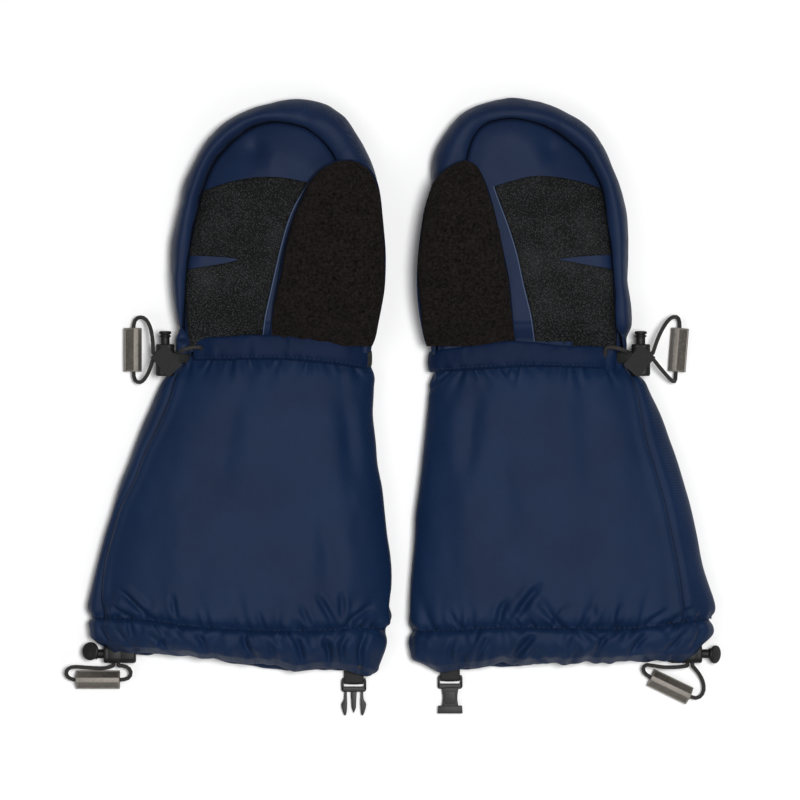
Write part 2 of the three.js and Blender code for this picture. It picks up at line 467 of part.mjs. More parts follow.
// webbing folded round the bar: two layers and a bend
function webbingLoop(len) {
  const pts = [];
  const r0 = BAR_R + 0.3, r1 = r0 + WEB_T;
  for (let i = 0; i <= 8; i++) { const a = -Math.PI / 2 - (i / 8) * Math.PI; pts.push([Math.cos(a) * r1, Math.sin(a) * r1]); }
  pts.push([len, r1], [len, r0 - 0.35], [r0 + 1.2, r0 - 0.35 + 0.35]);
  for (let i = 8; i >= 0; i--) { const a = -Math.PI / 2 - (i / 8) * Math.PI; pts.push([Math.cos(a) * r0, Math.sin(a) * r0]); }
  pts.push([r0 + 1.2, -r0], [len, -r0 + 0.35], [len, -r1]);
  const g = new THREE.ExtrudeGeometry(shape(pts), { depth: WEB_W, bevelEnabled: false, steps: 1 });
  g.translate(0, 0, -WEB_W / 2);
  g.rotateX(Math.PI / 2); // (x,y,z) -> (x,-z,y)
  g.rotateZ(Math.PI / 2); // strip runs towards +Y
  return g;
}
const BK_Z = 2.7;
const BKR = { x: gx(353.5), y: gy(682) }, BKL = { x: gx(806 - 450.5), y: gy(679) };

const right = mitten("right", {
  wrist1: [[152, 337.4, 17.1], [149.3, 326.4, 14.4], [144.9, 319.2, 11.6], [140.6, 316.8, 9.5], [136.2, 317.4, 7.7], [133.3, 320.3, 6.6]],
  wristBead: [132, 349.5, 6.2, -Math.PI / 2, 0],
  wrist2: [[132.7, 378.1, 6.6], [134.5, 380.9, 7.7], [137.6, 382.3, 9.5], [141, 381.4, 11.6], [145.2, 377, 14.4], [149.2, 369.7, 17.1]],
  wristRoll: 0.2,
  hem1: [[104.7, 669.1, 10], [93.3, 669.1, 11.3], [82, 668.2, 12.1], [73.1, 667.8, 12.2], [68.8, 668.7, 11.8], [65.7, 671.2, 10.6], [64.6, 674.7, 9.1], [65.7, 678.1, 7.5], [68.8, 680.6, 6.3]],
  hemBead: [96, 681.5, 5.9, 0, 0],
  hem2: [[126.9, 679.6, 6.2], [129.4, 674.4, 7.2], [126.9, 669.3, 8.2], [121.8, 667.2, 8.8]],
  hemRoll: 0.5,
});
const left = mitten("left", {
  wrist1: [[147.9, 338.3, 19.3], [142.4, 327.4, 17.5], [136.5, 319.7, 14.7], [131.8, 316.6, 11.9], [127.6, 316.7, 9], [125.2, 319.6, 7.1]],
  wristBead: [126.5, 349.5, 6.2, -1.49, 0],
  wrist2: [[128.8, 377.6, 6.8], [129.3, 380.3, 8.1], [130.8, 381.5, 10.3], [133.3, 380.4, 12.6], [138, 376.2, 15.4], [144.4, 369.2, 17.9]],
  wristRoll: 0.2,
  hem1: [[105.2, 675.4, 6.7], [101.3, 682.8, 5.6], [100, 689.9, 5.2], [101, 694.9, 5.2], [103.9, 698.5, 5.5], [107.6, 699.9, 5.8]],
  hemBead: [134, 688.5, 6, 0.45, 0],
  hem2: [[160.1, 674.2, 6.8], [161.4, 669.1, 8.8], [158.7, 666, 10.8], [153.3, 666.4, 11.7], [142.8, 668, 11.7], [131.2, 668.3, 10.9], [122.2, 667.8, 9.8]],
  hemRoll: 0.5,
});
function placeBuckle(group, P, at, len) {
  const b = new THREE.Group();
  b.position.set(at.x, at.y, BK_Z);
  add(b, P + "buckle_webbing", webbingLoop(len), M.webbing);
  if (P === "right_") {
    add(b, P + "buckle_tongue", maleFrame, M.plastic);
    add(b, P + "buckle_latch_inner", latch, M.plastic);
    const m = add(b, P + "buckle_latch_outer", latch, M.plastic);
    m.scale.x = -1;
  } else add(b, P + "buckle_socket", femaleBody, M.plastic);
  group.add(b);
}
placeBuckle(right, "right_", BKR, 6.1);
placeBuckle(left, "left_", BKL, 5.0);
left.scale.x = -1;

// ================================================================ assembly: origin under the middle of the pair, cord loops and beads not counted
const root = new THREE.Group();
root.add(right, left);
root.updateMatrixWorld(true);
const bb = new THREE.Box3();
const counted = (n) => !/(loop|bead)$/.test(n);
root.traverse((m) => { if (m.isMesh && counted(m.name)) bb.expandByObject(m, true); });
root.position.set(-(bb.min.x + bb.max.x) / 2, -(bb.min.y + bb.max.y) / 2, -bb.min.z);
root.name = "mitten_pair";
root.updateMatrixWorld(true);

export default root;
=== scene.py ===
import bpy, bmesh, math
import numpy as np
from mathutils import Vector, Matrix, noise
from mathutils.bvhtree import BVHTree
from mathutils.geometry import delaunay_2d_cdt

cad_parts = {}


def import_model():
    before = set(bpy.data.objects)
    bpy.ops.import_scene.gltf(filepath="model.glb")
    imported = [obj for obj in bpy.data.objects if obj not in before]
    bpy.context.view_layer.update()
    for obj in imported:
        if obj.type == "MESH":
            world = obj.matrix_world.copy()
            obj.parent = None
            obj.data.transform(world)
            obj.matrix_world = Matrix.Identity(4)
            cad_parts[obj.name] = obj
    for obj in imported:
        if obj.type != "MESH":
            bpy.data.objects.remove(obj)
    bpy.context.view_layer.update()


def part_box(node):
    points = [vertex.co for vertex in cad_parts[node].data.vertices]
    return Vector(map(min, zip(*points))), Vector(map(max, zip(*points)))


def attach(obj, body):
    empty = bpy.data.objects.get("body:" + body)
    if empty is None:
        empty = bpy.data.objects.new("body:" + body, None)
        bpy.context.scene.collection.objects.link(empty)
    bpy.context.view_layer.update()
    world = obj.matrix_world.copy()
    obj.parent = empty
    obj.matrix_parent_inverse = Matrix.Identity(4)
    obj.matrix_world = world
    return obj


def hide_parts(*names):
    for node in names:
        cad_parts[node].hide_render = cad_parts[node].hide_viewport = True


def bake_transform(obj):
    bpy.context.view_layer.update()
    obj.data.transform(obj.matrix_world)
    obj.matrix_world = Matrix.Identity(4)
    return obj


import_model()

K = 0.515  # mm per drafting unit
# drafting millimetres to the frame: only Y is shifted, read off a CAD node
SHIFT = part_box("right_cuff_back_panel")[1][1] * 1000 - 33.4
gx = lambda u: (np.asarray(u, float) - 403.0) * K
gy = lambda v: (400.0 - np.asarray(v, float)) * K
rng = np.random.default_rng(7)

# ------------------------------------------------------------------ camera
cam_data = bpy.data.cameras.new("camera")
cam = bpy.data.objects.new("camera", cam_data)
bpy.context.scene.collection.objects.link(cam)
bpy.context.scene.camera = cam
DIST = 2.2
cam_data.sensor_width = 36.0
cam_data.lens = 36.0 * (DIST - 0.02) / 0.412
cam.location = (-0.003 * 0.515, SHIFT / 1000, DIST)
cam.rotation_euler = (0, 0, 0)
cam_data.clip_end = 20


# ------------------------------------------------------------------ small maths
def tab(pairs, smooth=0.0):
    p = np.array(sorted(pairs), float)
    lo, hi = p[0, 0], p[-1, 0]
    xs = np.linspace(lo, hi, 1200)
    # cubic through the points (finite-difference tangents)
    x, y = p[:, 0], p[:, 1]
    m = np.gradient(y, x)
    i = np.clip(np.searchsorted(x, xs) - 1, 0, len(x) - 2)
    h = x[i + 1] - x[i]
    t = (xs - x[i]) / h
    ys = (2*t**3 - 3*t**2 + 1)*y[i] + (t**3 - 2*t**2 + t)*h*m[i] + (-2*t**3 + 3*t**2)*y[i+1] + (t**3 - t**2)*h*m[i+1]
    if smooth:
        w = max(int(smooth / (hi - lo) * 1200), 1)
        k = np.hanning(2 * w + 1); k /= k.sum()
        ys = np.convolve(np.pad(ys, w, mode="edge"), k, mode="valid")
    return lambda q: np.interp(q, xs, ys)


def side_table(rows):  # rows of (v, u) drafting units -> x(y) in mm
    return tab([(float(gy(v)), float(gx(u))) for v, u in rows], 3.0)


def poly_table(points):  # points (u, v) -> y(x) in mm
    return tab([(float(gx(u)), float(gy(v))) for u, v in points], 3.0)


def sm(a, b, x):
    t = np.clip((np.asarray(x, float) - a) / (b - a), 0, 1)
    return t * t * (3 - 2 * t)


def fbm(x, y, z, scale, octaves=3, seed=0.0):
    """vectorised value noise from a few summed lattices, about -1..1"""
    x, y, z = (np.asarray(a, float) for a in (x, y, z))
    out = np.zeros(np.broadcast(x, y, z).shape)
    amp, tot, s = 1.0, 0.0, 1.0 / scale
    for o in range(octaves):
        X, Y, Z = x * s + seed + 13.7 * o, y * s + 2 * seed + 7.1 * o, z * s + 3 * seed
        xi, yi, zi = np.floor(X), np.floor(Y), np.floor(Z)
        fx, fy, fz = X - xi, Y - yi, Z - zi
        fx, fy, fz = (f * f * (3 - 2 * f) for f in (fx, fy, fz))

        def h(a, b, c):
            v = np.sin(a * 127.1 + b * 311.7 + c * 74.7) * 43758.5453
            return v - np.floor(v)
        def l(a, b, t):
            return a + (b - a) * t
        v = l(l(l(h(xi, yi, zi), h(xi+1, yi, zi), fx), l(h(xi, yi+1, zi), h(xi+1, yi+1, zi), fx), fy),
              l(l(h(xi, yi, zi+1), h(xi+1, yi, zi+1), fx), l(h(xi, yi+1, zi+1), h(xi+1, yi+1, zi+1), fx), fy), fz)
        out += amp * (2 * v - 1)
        tot += amp
        amp *= 0.5; s *= 2.03
    return out / tot


def seg_dist(px, py, pts):
    """distance to a polyline, signed by side, and the fraction along it"""
    best = np.full(px.shape, 1e9); sign = np.ones(px.shape); frac = np.zeros(px.shape)
    seg = np.hypot(*(np.diff(pts, axis=0).T)); cum = np.concatenate([[0], np.cumsum(seg)])
    for i in range(len(pts) - 1):
        a, b = pts[i], pts[i + 1]; d = b - a; L2 = d @ d
        t = np.clip(((px - a[0]) * d[0] + (py - a[1]) * d[1]) / L2, 0, 1)
        dx, dy = px - (a[0] + t * d[0]), py - (a[1] + t * d[1])
        D = np.hypot(dx, dy)
        m = D < best
        best = np.where(m, D, best)
        sign = np.where(m, np.sign(d[0] * dy - d[1] * dx), sign)
        frac = np.where(m, (cum[i] + t * seg[i]) / cum[-1], frac)
    return best, sign, frac


def smooth_poly(pts, n=4):
    pts = np.array(pts, float)
    for _ in range(n):
        q = [pts[0]]
        for a, b in zip(pts[:-1], pts[1:]):
            q += [0.75 * a + 0.25 * b, 0.25 * a + 0.75 * b]
        q.append(pts[-1])
        pts = np.array(q)
    return pts


def folds(x, y, strokes, gain=1.0):
    """creases drawn as strokes ((u, v) points, half width mm, depth mm): a valley with a soft ridge beside it"""
    out = np.zeros(x.shape)
    for pts, w, d in strokes:
        P = smooth_poly([(float(gx(u)), float(gy(v))) for u, v in pts], 2)
        D, s, f = seg_dist(x, y, P)
        taper = np.sin(np.pi * np.clip(f * 0.94 + 0.03, 0, 1)) ** 0.6
        end = np.exp(-(np.maximum(D - 4 * w, 0) / w) ** 2)
        out += d * taper * end * (-np.exp(-(D / w) ** 2) + 0.55 * np.exp(-((D - 2.0 * w) / (1.2 * w)) ** 2) * np.where(s > 0, 1, 0.45))
    return out * gain


def gathers(s, d, seed, every=8.0, width=(0.8, 1.8), reach=(4, 15), depth=(0.4, 1.6), slant=0.7, span=(-180, 10)):
    """pinched folds that start on a sewn line: s runs along the line, d away from it"""
    r = np.random.default_rng(int(seed * 1000))
    out = np.zeros(np.broadcast(s, d).shape)
    q = span[0]
    while q < span[1]:
        q += r.uniform(0.35, 1.75) * every
        w, l, a, sl = r.uniform(*width), r.uniform(*reach), r.uniform(*depth) * r.uniform(0.5, 1.0), r.normal(0, slant)
        u = s - q - sl * d * (1 - 0.25 * np.clip(d / (l + 1e-6), 0, 1))
        ww = w * (1 + 0.9 * np.clip(d / l, 0, 2))
        fade = np.exp(-(np.maximum(d, 0) / l) ** 2)
        out += a * fade * (-1.25 * np.exp(-(u / ww) ** 2) + 0.75 * np.exp(-((u - 2.1 * ww) / (1.3 * ww)) ** 2) + 0.6 * np.exp(-((u + 2.1 * ww) / (1.3 * ww)) ** 2))
    return out


# ------------------------------------------------------------------ mesh making
def mk(name, verts, faces, side, body=None, mat=None, smooth=True, nodes=(), subsurf=0):
    v = np.array(verts, float).reshape(-1, 3).copy()
    v[:, 1] += SHIFT
    faces = [tuple(f) for f in faces]
    if side == "left":
        v[:, 0] *= -1
        faces = [f[::-1] for f in faces]
    me = bpy.data.meshes.new(name)
    me.from_pydata((v / 1000).tolist(), [], faces)
    me.validate(); me.update()
    o = bpy.data.objects.new(name, me)
    bpy.context.scene.collection.objects.link(o)
    if smooth:
        me.polygons.foreach_set("use_smooth", np.ones(len(me.polygons), bool))
    if mat: me.materials.append(mat)
    if subsurf:
        m = o.modifiers.new("sub", "SUBSURF"); m.levels = subsurf; m.render_levels = subsurf
    if nodes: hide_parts(*nodes)
    if body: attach(o, body)
    return o


def grid_faces(rows, cols, wrap=False, flip=False):
    f = []
    for i in range(rows - 1):
        for j in range(cols if wrap else cols - 1):
            a, b = i * cols + j, i * cols + (j + 1) % cols
            q = (a, b, b + cols, a + cols)
            f.append(q[::-1] if flip else q)
    return f


def grid_normals(P):
    """P rows x cols x 3 -> unit normals by differences"""
    du = np.gradient(P, axis=1); dv = np.gradient(P, axis=0)
    n = np.cross(du, dv)
    n /= np.maximum(np.linalg.norm(n, axis=2, keepdims=True), 1e-9)
    return n


def bevel(o, w=0.3, seg=2, angle=0.6):
    m = o.modifiers.new("bev", "BEVEL"); m.width = w / 1000; m.segments = seg; m.limit_method = "ANGLE"; m.angle_limit = angle
    m.harden_normals = False
    return o


def bm_obj(bm, name, side, place, body, mat, nodes=(), smooth=True):
    """bm in its own mm frame; place maps local (x, y, z) arrays to drafting mm"""
    bmesh.ops.recalc_face_normals(bm, faces=bm.faces)
    v = np.array([list(q.co) for q in bm.verts])
    bm.verts.index_update()
    f = [[q.index for q in face.verts] for face in bm.faces]
    bm.free()
    v = place(v)
    # place may mirror: recompute winding below
    o = mk(name, v, f, side, body, mat, smooth, nodes)
    b2 = bmesh.new(); b2.from_mesh(o.data); bmesh.ops.recalc_face_normals(b2, faces=b2.faces); b2.to_mesh(o.data); b2.free()
    return o


def prism_bm(outline, z0, z1, hole=None):
    bm = bmesh.new()
    lo = [bm.verts.new((x, y, z0)) for x, y in outline]
    hi = [bm.verts.new((x, y, z1)) for x, y in outline]
    n = len(outline)
    if hole is None:
        bm.faces.new(lo[::-1]); bm.faces.new(hi)
    for i in range(n):
        bm.faces.new((lo[i], lo[(i+1) % n], hi[(i+1) % n], hi[i]))
    if hole is not None:
        hl = [bm.verts.new((x, y, z0)) for x, y in hole]; hh = [bm.verts.new((x, y, z1)) for x, y in hole]
        m = len(hole)
        for i in range(m):
            bm.faces.new((hl[(i+1) % m], hl[i], hh[i], hh[(i+1) % m]))
        for ring_o, ring_h in ((lo, hl), (hi, hh)):
            eo = [bm.edges.get((ring_o[i], ring_o[(i+1) % n])) for i in range(n)]
            eh = [bm.edges.get((ring_h[i], ring_h[(i+1) % m])) for i in range(m)]
            bmesh.ops.triangle_fill(bm, use_beauty=True, edges=eo + eh)
    return bm


def lathe_bm(profile, n=32, axis="y"):
    """profile (r, h) from the axis to the axis"""
    bm = bmesh.new()
    rings = []
    for r, h in profile:
        if r < 1e-6:
            rings.append([bm.verts.new((0, h, 0))])
        else:
            rings.append([bm.verts.new((r * math.cos(2*math.pi*k/n), h, r * math.sin(2*math.pi*k/n))) for k in range(n)])
    for a, b in zip(rings[:-1], rings[1:]):
        for k in range(n):
            if len(a) == 1 and len(b) == 1: continue
            if len(a) == 1: bm.faces.new((a[0], b[(k+1) % n], b[k]))
            elif len(b) == 1: bm.faces.new((a[k], a[(k+1) % n], b[0]))
            else: bm.faces.new((a[k], a[(k+1) % n], b[(k+1) % n], b[k]))
    return bm


def box_bm(x0, x1, y0, y1, z0, z1, bm=None):
    bm = bm or bmesh.new()
    v = [bm.verts.new((x, y, z)) for z in (z0, z1) for y in (y0, y1) for x in (x0, x1)]
    for f in ((0, 2, 3, 1), (4, 5, 7, 6), (0, 1, 5, 4), (2, 6, 7, 3), (0, 4, 6, 2), (1, 3, 7, 5)):
        bm.faces.new([v[i] for i in f])
    return bm


# ------------------------------------------------------------------ materials
def new_mat(name):
    m = bpy.data.materials.new(name); m.use_nodes = True
    nt = m.node_tree; b = nt.nodes["Principled BSDF"]
    return m, nt, b


def N(nt, kind, **kw):
    n = nt.nodes.new(kind)
    for k, v in kw.items():
        if k in n.inputs: n.inputs[k].default_value = v
        else: setattr(n, k, v)
    return n


def mathn(nt, op, a, b=None, clamp=False):
    n = nt.nodes.new("ShaderNodeMath"); n.operation = op; n.use_clamp = clamp
    for i, q in enumerate((a, b)):
        if q is None: continue
        if isinstance(q, (int, float)): n.inputs[i].default_value = q
        else: nt.links.new(q, n.inputs[i])
    return n.outputs[0]


def mixc(nt, fac, a, b):
    n = nt.nodes.new("ShaderNodeMix"); n.data_type = "RGBA"
    for i, q in ((0, fac), (6, a), (7, b)):
        if isinstance(q, (int, float)): n.inputs[i].default_value = q
        elif isinstance(q, (tuple, list)): n.inputs[i].default_value = (*q, 1)
        else: nt.links.new(q, n.inputs[i])
    return n.outputs[2]


def coords(nt, scale):
    tc = nt.nodes.new("ShaderNodeTexCoord"); mp = nt.nodes.new("ShaderNodeMapping")
    mp.inputs["Scale"].default_value = (scale, scale, scale) if isinstance(scale, (int, float)) else scale
    nt.links.new(tc.outputs["Object"], mp.inputs["Vector"])
    return mp.outputs["Vector"]


def fabric_mat(name, col, dark, rough=0.50, pitch=0.95, bump=0.26, sheen=0.02, spec=0.26):
    """woven twill nylon: crossed yarns in the object's own millimetres"""
    m, nt, b = new_mat(name)
    v = coords(nt, 1000.0)
    sep = nt.nodes.new("ShaderNodeSeparateXYZ"); nt.links.new(v, sep.inputs[0])
    X, Y, Z = sep.outputs
    w = 2 * math.pi / pitch
    # a little of z goes into both directions so that the sides carry the weave as well
    a = mathn(nt, "SINE", mathn(nt, "MULTIPLY", mathn(nt, "ADD", X, mathn(nt, "MULTIPLY", Z, 0.75)), w))
    c = mathn(nt, "SINE", mathn(nt, "MULTIPLY", mathn(nt, "ADD", Y, mathn(nt, "MULTIPLY", Z, 0.35)), w))
    weave = mathn(nt, "MULTIPLY", a, c)
    big = N(nt, "ShaderNodeTexNoise", Scale=0.035, Detail=3.0); nt.links.new(v, big.inputs["Vector"])
    fine = N(nt, "ShaderNodeTexNoise", Scale=1.6, Detail=2.0); nt.links.new(v, fine.inputs["Vector"])
    k = mathn(nt, "ADD", mathn(nt, "MULTIPLY", weave, 0.42), 0.5)
    k = mathn(nt, "ADD", k, mathn(nt, "MULTIPLY", mathn(nt, "SUBTRACT", fine.outputs["Fac"], 0.5), 0.55))
    k = mathn(nt, "ADD", k, mathn(nt, "MULTIPLY", mathn(nt, "SUBTRACT", big.outputs["Fac"], 0.5), 0.5), True)
    nt.links.new(mixc(nt, k, dark, col), b.inputs["Base Color"])
    r = mathn(nt, "ADD", mathn(nt, "MULTIPLY", k, -0.12), rough + 0.06)
    nt.links.new(r, b.inputs["Roughness"])
    bp = N(nt, "ShaderNodeBump", Strength=bump, Distance=0.0003)
    h = mathn(nt, "ADD", weave, mathn(nt, "MULTIPLY", fine.outputs["Fac"], 0.8))
    nt.links.new(h, bp.inputs["Height"]); nt.links.new(bp.outputs[0], b.inputs["Normal"])
    b.inputs["Sheen Weight"].default_value = sheen
    b.inputs["Sheen Roughness"].default_value = 0.5
    b.inputs["Sheen Tint"].default_value = (0.45, 0.55, 0.8, 1)
    b.inputs["Specular IOR Level"].default_value = spec
    return m


NAVY = fabric_mat("navy_nylon", (0.0078, 0.0262, 0.0790), (0.0024, 0.0078, 0.0265), spec=0.12)
# a darker copy of the navy nylon for the wrist casings: the extra darkness is painted shade
NAVY_CASING_SHADED = fabric_mat("navy_nylon_casing_painted_shade", (0.0062, 0.0190, 0.0600), (0.0018, 0.0056, 0.0200), bump=0.24, spec=0.07)
NAVY_HAND = fabric_mat("navy_nylon_hand", (0.0112, 0.0262, 0.0720), (0.0048, 0.0096, 0.0280), bump=0.2, spec=0.10)
LINING = fabric_mat("lining_knit", (0.020, 0.024, 0.034), (0.006, 0.007, 0.010), rough=0.9, pitch=1.6, bump=0.4, sheen=0.1)


def patch_mat():
    m, nt, b = new_mat("grip_granular")
    v = coords(nt, 1000.0)
    vo = N(nt, "ShaderNodeTexVoronoi", Scale=1.15); nt.links.new(v, vo.inputs["Vector"])
    no = N(nt, "ShaderNodeTexNoise", Scale=0.9, Detail=4.0, Roughness=0.7); nt.links.new(v, no.inputs["Vector"])
    big = N(nt, "ShaderNodeTexNoise", Scale=0.05, Detail=2.0); nt.links.new(v, big.inputs["Vector"])
    g = mathn(nt, "SUBTRACT", 1.0, mathn(nt, "MULTIPLY", vo.outputs["Distance"], 1.5), True)
    k = mathn(nt, "MULTIPLY", g, mathn(nt, "MULTIPLY", no.outputs["Fac"], 1.5), True)
    k = mathn(nt, "POWER", k, 1.6)
    k2 = mathn(nt, "ADD", k, mathn(nt, "MULTIPLY", mathn(nt, "SUBTRACT", big.outputs["Fac"], 0.5), 0.35), True)
    nt.links.new(mixc(nt, k2, (0.0030, 0.0032, 0.0036), (0.085, 0.090, 0.092)), b.inputs["Base Color"])
    # a few grains glint
    cell = mathn(nt, "GREATER_THAN", vo.outputs["Color"], 0.82)
    nt.links.new(mathn(nt, "SUBTRACT", 0.78, mathn(nt, "MULTIPLY", cell, 0.38)), b.inputs["Roughness"])
    bp = N(nt, "ShaderNodeBump", Strength=0.75, Distance=0.0006)
    nt.links.new(mathn(nt, "ADD", g, mathn(nt, "MULTIPLY", no.outputs["Fac"], 0.8)), bp.inputs["Height"])
    nt.links.new(bp.outputs[0], b.inputs["Normal"])
    b.inputs["Specular IOR Level"].default_value = 0.16
    return m


def fleece_mat():
    m, nt, b = new_mat("fleece")
    v = coords(nt, 1000.0)
    n1 = N(nt, "ShaderNodeTexNoise", Scale=0.62, Detail=5.0, Roughness=0.75, Distortion=0.6); nt.links.new(v, n1.inputs["Vector"])
    n2 = N(nt, "ShaderNodeTexNoise", Scale=0.09, Detail=2.0); nt.links.new(v, n2.inputs["Vector"])
    vo = N(nt, "ShaderNodeTexVoronoi", Scale=0.42, feature="SMOOTH_F1"); nt.links.new(v, vo.inputs["Vector"])
    # dark pits where the pile's bump is low: painted shade in its hollows, over the fleece's own broad mottled tone
    pit_shade = mathn(nt, "MULTIPLY", mathn(nt, "SUBTRACT", n1.outputs["Fac"], 0.38), 4.2, True)
    k = mathn(nt, "ADD", mathn(nt, "MULTIPLY", pit_shade, 0.75), mathn(nt, "MULTIPLY", n2.outputs["Fac"], 0.25), True)
    nt.links.new(mixc(nt, k, (0.0012, 0.0009, 0.0009), (0.0200, 0.0158, 0.0158)), b.inputs["Base Color"])
    b.inputs["Roughness"].default_value = 0.98
    b.inputs["Specular IOR Level"].default_value = 0.02
    b.inputs["Sheen Weight"].default_value = 0.06
    b.inputs["Sheen Roughness"].default_value = 0.6
    b.inputs["Sheen Tint"].default_value = (0.30, 0.26, 0.25, 1)
    bp = N(nt, "ShaderNodeBump", Strength=0.9, Distance=0.0009)
    nt.links.new(mathn(nt, "ADD", n1.outputs["Fac"], mathn(nt, "MULTIPLY", vo.outputs["Distance"], -0.5)), bp.inputs["Height"])
    nt.links.new(bp.outputs[0], b.inputs["Normal"])
    return m


def cord_mat():
    m, nt, b = new_mat("braided_cord")
    v = coords(nt, 1000.0)
    w1 = N(nt, "ShaderNodeTexWave", Scale=0.55, Distortion=0.6, bands_direction="DIAGONAL"); nt.links.new(v, w1.inputs["Vector"])
    no = N(nt, "ShaderNodeTexNoise", Scale=2.2, Detail=2.0); nt.links.new(v, no.inputs["Vector"])
    k = mathn(nt, "ADD", mathn(nt, "MULTIPLY", w1.outputs["Fac"], 0.5), mathn(nt, "MULTIPLY", no.outputs["Fac"], 0.5))
    nt.links.new(mixc(nt, k, (0.0060, 0.0056, 0.0053), (0.030, 0.027, 0.025)), b.inputs["Base Color"])
    b.inputs["Roughness"].default_value = 0.78
    bp = N(nt, "ShaderNodeBump", Strength=0.6, Distance=0.0004); nt.links.new(k, bp.inputs["Height"]); nt.links.new(bp.outputs[0], b.inputs["Normal"])
    return m


def webbing_mat():
    m, nt, b = new_mat("ribbed_webbing")
    v = coords(nt, 1000.0)
    no = N(nt, "ShaderNodeTexNoise", Scale=1.8, Detail=3.0); nt.links.new(v, no.inputs["Vector"])
    nt.links.new(mixc(nt, no.outputs["Fac"], (0.0040, 0.0044, 0.0042), (0.017, 0.018, 0.017)), b.inputs["Base Color"])
    b.inputs["Roughness"].default_value = 0.8
    bp = N(nt, "ShaderNodeBump", Strength=0.5, Distance=0.0003); nt.links.new(no.outputs["Fac"], bp.inputs["Height"]); nt.links.new(bp.outputs[0], b.inputs["Normal"])
    return m


def plastic_mat(name, c=0.010, rough=0.42):
    m, nt, b = new_mat(name)
    v = coords(nt, 1000.0)
    no = N(nt, "ShaderNodeTexNoise", Scale=3.5, Detail=3.0); nt.links.new(v, no.inputs["Vector"])
    sc = N(nt, "ShaderNodeTexNoise", Scale=0.25, Detail=2.0); nt.links.new(v, sc.inputs["Vector"])
    nt.links.new(mixc(nt, sc.outputs["Fac"], (c * 0.8,) * 3, (c * 1.6, c * 1.6, c * 1.55)), b.inputs["Base Color"])
    nt.links.new(mathn(nt, "ADD", mathn(nt, "MULTIPLY", no.outputs["Fac"], 0.18), rough - 0.09), b.inputs["Roughness"])
    b.inputs["Specular IOR Level"].default_value = 0.26
    bp = N(nt, "ShaderNodeBump", Strength=0.12, Distance=0.0002); nt.links.new(no.outputs["Fac"], bp.inputs["Height"]); nt.links.new(bp.outputs[0], b.inputs["Normal"])
    return m


def pewter_mat():
    m, nt, b = new_mat("antiqued_pewter")
    v = coords(nt, 1000.0)
    no = N(nt, "ShaderNodeTexNoise", Scale=0.55, Detail=6.0, Roughness=0.65); nt.links.new(v, no.inputs["Vector"])
    geo = nt.nodes.new("ShaderNodeNewGeometry")
    ridge = mathn(nt, "MULTIPLY", mathn(nt, "SUBTRACT", geo.outputs["Pointiness"], 0.5), 7.0)
    k = mathn(nt, "ADD", mathn(nt, "MULTIPLY", mathn(nt, "SUBTRACT", no.outputs["Fac"], 0.30), 1.4), ridge, True)
    nt.links.new(mixc(nt, k, (0.105, 0.094, 0.080), (0.30, 0.275, 0.245)), b.inputs["Base Color"])
    b.inputs["Metallic"].default_value = 0.55
    nt.links.new(mathn(nt, "ADD", mathn(nt, "MULTIPLY", no.outputs["Fac"], 0.2), 0.50), b.inputs["Roughness"])
    bp = N(nt, "ShaderNodeBump", Strength=0.45, Distance=0.0004); nt.links.new(no.outputs["Fac"], bp.inputs["Height"]); nt.links.new(bp.outputs[0], b.inputs["Normal"])
    return m


def thread_mat(name, col, spec=0.2):
    m, nt, b = new_mat(name)
    v = coords(nt, 1000.0)
    no = N(nt, "ShaderNodeTexNoise", Scale=2.5, Detail=2.0); nt.links.new(v, no.inputs["Vector"])
    nt.links.new(mixc(nt, no.outputs["Fac"], tuple(c * 0.6 for c in col), tuple(c * 1.3 for c in col)), b.inputs["Base Color"])
    b.inputs["Roughness"].default_value = 0.6; b.inputs["Specular IOR Level"].default_value = spec
    return m


PATCH, FLEECE, CORD, WEB = patch_mat(), fleece_mat(), cord_mat(), webbing_mat()
# the left buckle uses a lighter copy of the black acetal
PLASTIC = plastic_mat("black_plastic", 0.0065, 0.52); BUCKLE = plastic_mat("black_acetal", 0.0085, 0.46); BUCKLE_LIGHTER = plastic_mat("lighter_black_acetal", 0.016, 0.5)
PEWTER = pewter_mat()
# the near-black seam thread is painted shadow: it darkens the crease under the hand's rim
THREAD = thread_mat("navy_thread", (0.016, 0.030, 0.070)); CREASE_SHADOW_THREAD = thread_mat("crease_shadow_thread", (0.0020, 0.0036, 0.0090), 0.03); PIPING = thread_mat("piping", (0.07, 0.10, 0.17)); BLACK_THREAD = thread_mat("black_thread", (0.012, 0.012, 0.013))
STEEL, _nt, _b = new_mat("spring_wire"); _b.inputs["Metallic"].default_value = 1.0; _b.inputs["Base Color"].default_value = (0.6, 0.6, 0.6, 1)
_v = coords(_nt, 1000.0); _n = N(_nt, "ShaderNodeTexNoise", Scale=2.0); _nt.links.new(_v, _n.inputs["Vector"])
_nt.links.new(mathn(_nt, "ADD", mathn(_nt, "MULTIPLY", _n.outputs["Fac"], 0.2), 0.2), _b.inputs["Roughness"])

